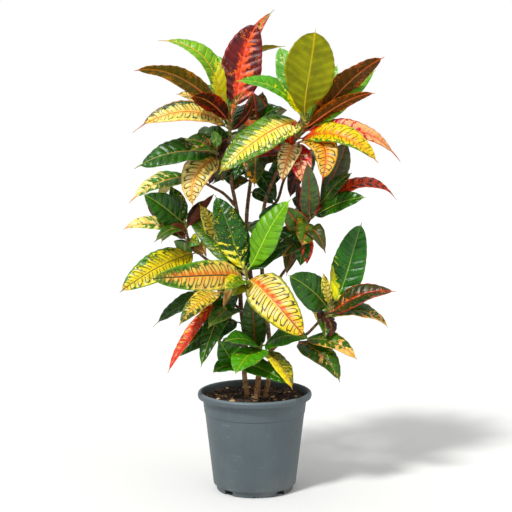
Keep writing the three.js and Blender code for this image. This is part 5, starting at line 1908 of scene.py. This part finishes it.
@dataclass
class Soil:
    """Dark potting mix: one lumpy, slightly dished fill with loose crumbs and chips of bark on it."""

    top: float = 172.0
    dish: float = 3.0
    dish_radius: float = 92.0
    low: float = 14.6
    levels: tuple[float, ...] = (168, 130, 80, 40)
    gap: float = 0.8
    spin: int = 120
    ring: float = 2.4
    lumps: float = 3.0
    fine_lumps: float = 0.7
    crumbs: int = 460
    crumb: tuple[float, float] = (0.8, 2.4)
    chips: int = 300
    chip: tuple[float, float] = (1.8, 5.0)
    edge_gap: float = 5.0
    dented: float = 0.13
    seed: int = 41

    GRAIN = rgb("8c7350")
    FIBRE = rgb("0e0805")
    RELIEF = 2.0 * MM

    def dress(self) -> bpy.types.Material:
        """Peaty brown, from near black to tan, with a few pale grains.

        Returns:
            The material.
        """
        paint = Paint("potting_mix")
        tone, loose, _ = paint.attribute("tone")
        place = paint.place()
        cloud = paint.noise(place, 90, 4, 0.65)
        fine = paint.noise(place, 700, 3, 0.6)
        fibres = paint.cells(place, 900)
        peat = paint.ramp(cloud, (0.34, rgb("080402")), (0.52, rgb("2c1a0e")), (0.72, rgb("6e4826")))
        bark = ((0.0, rgb("0e0704")), (0.35, rgb("482a14")), (0.7, rgb("8c5c30")), (1.0, rgb("dcbc90")))
        colour = paint.mix(loose, peat, paint.ramp(tone, *bark))
        colour = paint.mix(fine.rise(0.6, 0.75) * 0.35, colour, self.GRAIN)
        colour = paint.mix((1 - fibres.rise(0.1, 0.4)) * 0.4, colour, self.FIBRE)
        relief = paint.bump(cloud * 0.6 + fine * 0.8, 0.8, self.RELIEF)
        return paint.finish(colour, fine * 0.15 + 0.82, relief)

    def inside(self, pot: Pot, z: float) -> float:
        """The fill's radius at a height: a little less than the pot's inner radius."""
        return pot.radius(z) - pot.wall - self.gap

    def surface(self, spot: Vector) -> float:
        """The soil's height in metres at a place in the frame."""
        share = min(1.0, (spot.xy - POT_AXIS.xy).length / (self.dish_radius * MM))
        rough = noise.fractal(Vector((spot.x, spot.y, 0)) * 62, 0.9, 2.1, 4) * self.lumps
        fine = noise.noise(Vector((spot.x, spot.y, 3)) * 260) * self.fine_lumps
        return (self.top - self.dish * (1 - share**2) + rough * (1 - share**8 * 0.7) + fine) * MM

    def scatter(self, maker: bmesh.types.BMesh, tone: bmesh.types.BMLayerItem, edge: float) -> None:
        """Drops crumbs and flat chips of bark on the soil.

        Args:
            maker: the soil's mesh.
            tone: the vector layer for how pale and how loose the mix is.
            edge: the soil's radius at its top.
        """
        chance = random.Random(self.seed)
        places = []
        for i in range(self.crumbs + self.chips):
            chip = i >= self.crumbs
            reach = (edge - self.edge_gap) * math.sqrt(chance.random())
            angle = chance.uniform(0, math.tau)
            size = chance.uniform(*(self.chip if chip else self.crumb))
            places.append((reach * math.cos(angle), reach * math.sin(angle), size, chip))
        for x, y, size, chip in places:
            flat, loose = (0.3, 1.0) if chip else (0.75, 0.75)
            spot = metres((x, y, 0))
            spot.z = self.surface(spot) + size * 0.2 * MM
            turn = Matrix.Rotation(chance.uniform(0, 6.3), 4, "Z")
            turn = turn @ Matrix.Rotation(chance.uniform(-0.5, 0.5), 4, "X")
            long, wide = size * chance.uniform(0.8, 1.5), size * chance.uniform(0.6, 1.1)
            stretch = Matrix.Diagonal((long * MM, wide * MM, size * flat * MM, 1))
            at = Matrix.Translation(spot) @ turn @ stretch
            made = bmesh.ops.create_icosphere(maker, subdivisions=1, radius=1.0, matrix=at)["verts"]
            shade = chance.random() ** 2.2
            for v in made:
                dent = Vector((chance.gauss(0, 1), chance.gauss(0, 1), chance.gauss(0, 0.6)))
                v.co += dent * size * self.dented * MM
                v[tone] = (shade, loose, 0)

    def build(self, pot: Pot) -> bpy.types.Object:
        """Fills the pot and scatters what lies loose on top.

        Args:
            pot: the pot.

        Returns:
            The soil.
        """
        maker = bmesh.new()
        tone = maker.verts.layers.float_vector.new("tone")
        edge = self.inside(pot, self.top)
        count = int(edge / self.ring)
        section = [(edge * i / count, self.top) for i in range(count + 1)]
        section += [(self.inside(pot, z), z) for z in (*self.levels, self.low)] + [(0, self.low)]
        turned(maker, section, self.spin)
        for v in maker.verts:
            if v.co.z > (self.top - 1) * MM:
                v.co.z = self.surface(v.co)
        self.scatter(maker, tone, edge)
        bmesh.ops.recalc_face_normals(maker, faces=maker.faces)
        for face in maker.faces:
            face.smooth = len(face.verts) == 4
        piece = finished("soil", maker, [self.dress()])
        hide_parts("soil")
        return piece


# ---- the plant ------------------------------------------------------------------------------
@dataclass
class Croton:
    """The whole plant in its pot."""

    pot: Pot = field(default_factory=Pot)
    soil: Soil = field(default_factory=Soil)
    stems: Stems = field(default_factory=Stems)
    blades: LeafBuilder = field(default_factory=LeafBuilder)
    small_blades: LeafBuilder = field(default_factory=lambda: LeafBuilder(columns=14, row=3.4, stalk_sides=8))
    painter: LeafPainter = field(default_factory=LeafPainter)

    def build(self) -> list[bpy.types.Object]:
        """Builds the pot, the soil, the stems, the leaves that have a solid, and the groups of the others.

        Returns:
            The pieces.
        """
        pieces = [self.pot.build(), self.soil.build(self.pot), *self.stems.build()]
        for place, leaves in LEAVES.items():
            pieces += [self.leaf(f"{place}_leaf_{i}", leaf) for i, leaf in enumerate(leaves, 1)]
        pieces += [self.group(place, leaves) for place, leaves in MORE_LEAVES.items()]
        return pieces

    def leaf(self, name: str, leaf: Leaf) -> bpy.types.Object:
        """Makes one leaf as a piece of its own.

        Args:
            name: the leaf's name.
            leaf: the leaf.

        Returns:
            The piece.
        """
        maker = bmesh.new()
        self.blades.grow(maker, name, leaf, 0)
        piece = finished(name, maker, self.painter.materials(leaf.kind))
        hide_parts(name)
        return piece

    def group(self, place: str, leaves: list[Leaf]) -> bpy.types.Object:
        """Makes the leaves of one part of the plant as one piece.

        Args:
            place: the part of the plant.
            leaves: its leaves.

        Returns:
            The piece.
        """
        maker = bmesh.new()
        materials: list[bpy.types.Material] = []
        starts: dict[Kind, int] = {}
        for leaf in leaves:
            if leaf.kind not in starts:
                starts[leaf.kind] = len(materials)
                materials += self.painter.materials(leaf.kind)
            self.small_blades.grow(maker, place, leaf, starts[leaf.kind])
        piece = finished(f"{place}_more_leaves", maker, materials)
        return piece


# ---- studio ---------------------------------------------------------------------------------
@dataclass(frozen=True)
class Sun:
    """A distant soft light: the direction it shines from, its strength, and how wide it looks in degrees."""

    name: str
    towards: tuple[float, float, float]
    strength: float
    spread: float

    def hang(self) -> None:
        """Adds the light to the studio."""
        lamp = bpy.data.lights.new(self.name, "SUN")
        lamp.energy = self.strength
        lamp.angle = math.radians(self.spread)
        piece = bpy.data.objects.new(self.name, lamp)
        piece.rotation_euler = (-Vector(self.towards)).to_track_quat("-Z", "Y").to_euler()
        bpy.context.scene.collection.objects.link(piece)


@dataclass
class Studio:
    """A pale floor, soft light all round, and the camera at the photograph's place."""

    camera_at: tuple[float, float, float] = (-0.0086, -2.4147, 0.7133)
    camera_tilt: float = 83.336
    lens: float = 93.98
    sensor: float = 36.0
    floor_size: float = 60.0
    surround: tuple[tuple[float, float], ...] = ((0.085, 1.0), (1.0, 0.36), (0.17, 0.2))
    suns: tuple[Sun, ...] = (
        Sun("key", (-0.55, -0.75, 1.15), 2.9, 9),
        Sun("fill", (0.9, -0.9, 0.5), 0.34, 60),
    )

    def floor(self) -> None:
        """Lays the floor."""
        maker = bmesh.new()
        bmesh.ops.create_grid(maker, x_segments=1, y_segments=1, size=self.floor_size / 2)
        mesh = bpy.data.meshes.new("floor")
        maker.to_mesh(mesh)
        maker.free()
        floor = bpy.data.objects.new("floor", mesh)
        bpy.context.scene.collection.objects.link(floor)
        paint = Paint("pale_floor")
        colour = paint.mix(paint.noise(paint.place(), 1.5, 2), rgb("e2e2e0"), rgb("dededc"))
        mesh.materials.append(paint.finish(colour, 0.85))

    def sky(self) -> None:
        """Lights the plant from all round. Each stop of the surround is a height and a brightness."""
        world = bpy.data.worlds.new("studio")
        world.use_nodes = True
        tree = world.node_tree
        background = tree.nodes["Background"]
        sky = tree.nodes.new("ShaderNodeTexCoord")
        split = tree.nodes.new("ShaderNodeSeparateXYZ")
        ramp = tree.nodes.new("ShaderNodeValToRGB")
        tree.links.new(sky.outputs["Generated"], split.inputs[0])
        tree.links.new(split.outputs[2], ramp.inputs[0])
        tree.links.new(ramp.outputs[0], background.inputs["Color"])
        stops = ramp.color_ramp.elements
        for element, (height, level) in zip([stops[0], stops[1], stops.new(0.5)], self.surround):
            element.position = height
            element.color = (level, level, level * 1.01, 1.0)
        bpy.context.scene.world = world

    def camera(self) -> None:
        """Stands the camera where the photograph was taken from."""
        scene = bpy.context.scene
        lens = bpy.data.cameras.new("camera")
        lens.sensor_width = self.sensor
        lens.lens = self.lens
        camera = bpy.data.objects.new("camera", lens)
        camera.location = self.camera_at
        camera.rotation_euler = (math.radians(self.camera_tilt), 0, 0)
        scene.collection.objects.link(camera)
        scene.camera = camera
        scene.view_settings.view_transform = "Standard"
        scene.view_settings.look = "None"

    def build(self) -> None:
        """Lays the floor, hangs the lights and stands the camera."""
        self.floor()
        self.sky()
        for sun in self.suns:
            sun.hang()
        self.camera()


def corners(box: tuple[Vector, Vector]) -> list[list[float]]:
    """A box's corners as plain numbers."""
    return [list(box[0]), list(box[1])]


def main() -> None:
    """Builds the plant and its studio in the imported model's frame."""
    logging.basicConfig(level=logging.INFO, format="%(message)s")
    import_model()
    for piece in Croton().build():
        LOG.info("built %s: %d faces", piece.name, len(piece.data.polygons))
    Studio().build()
    bpy.context.view_layer.update()


if __name__ == "__main__":
    main()
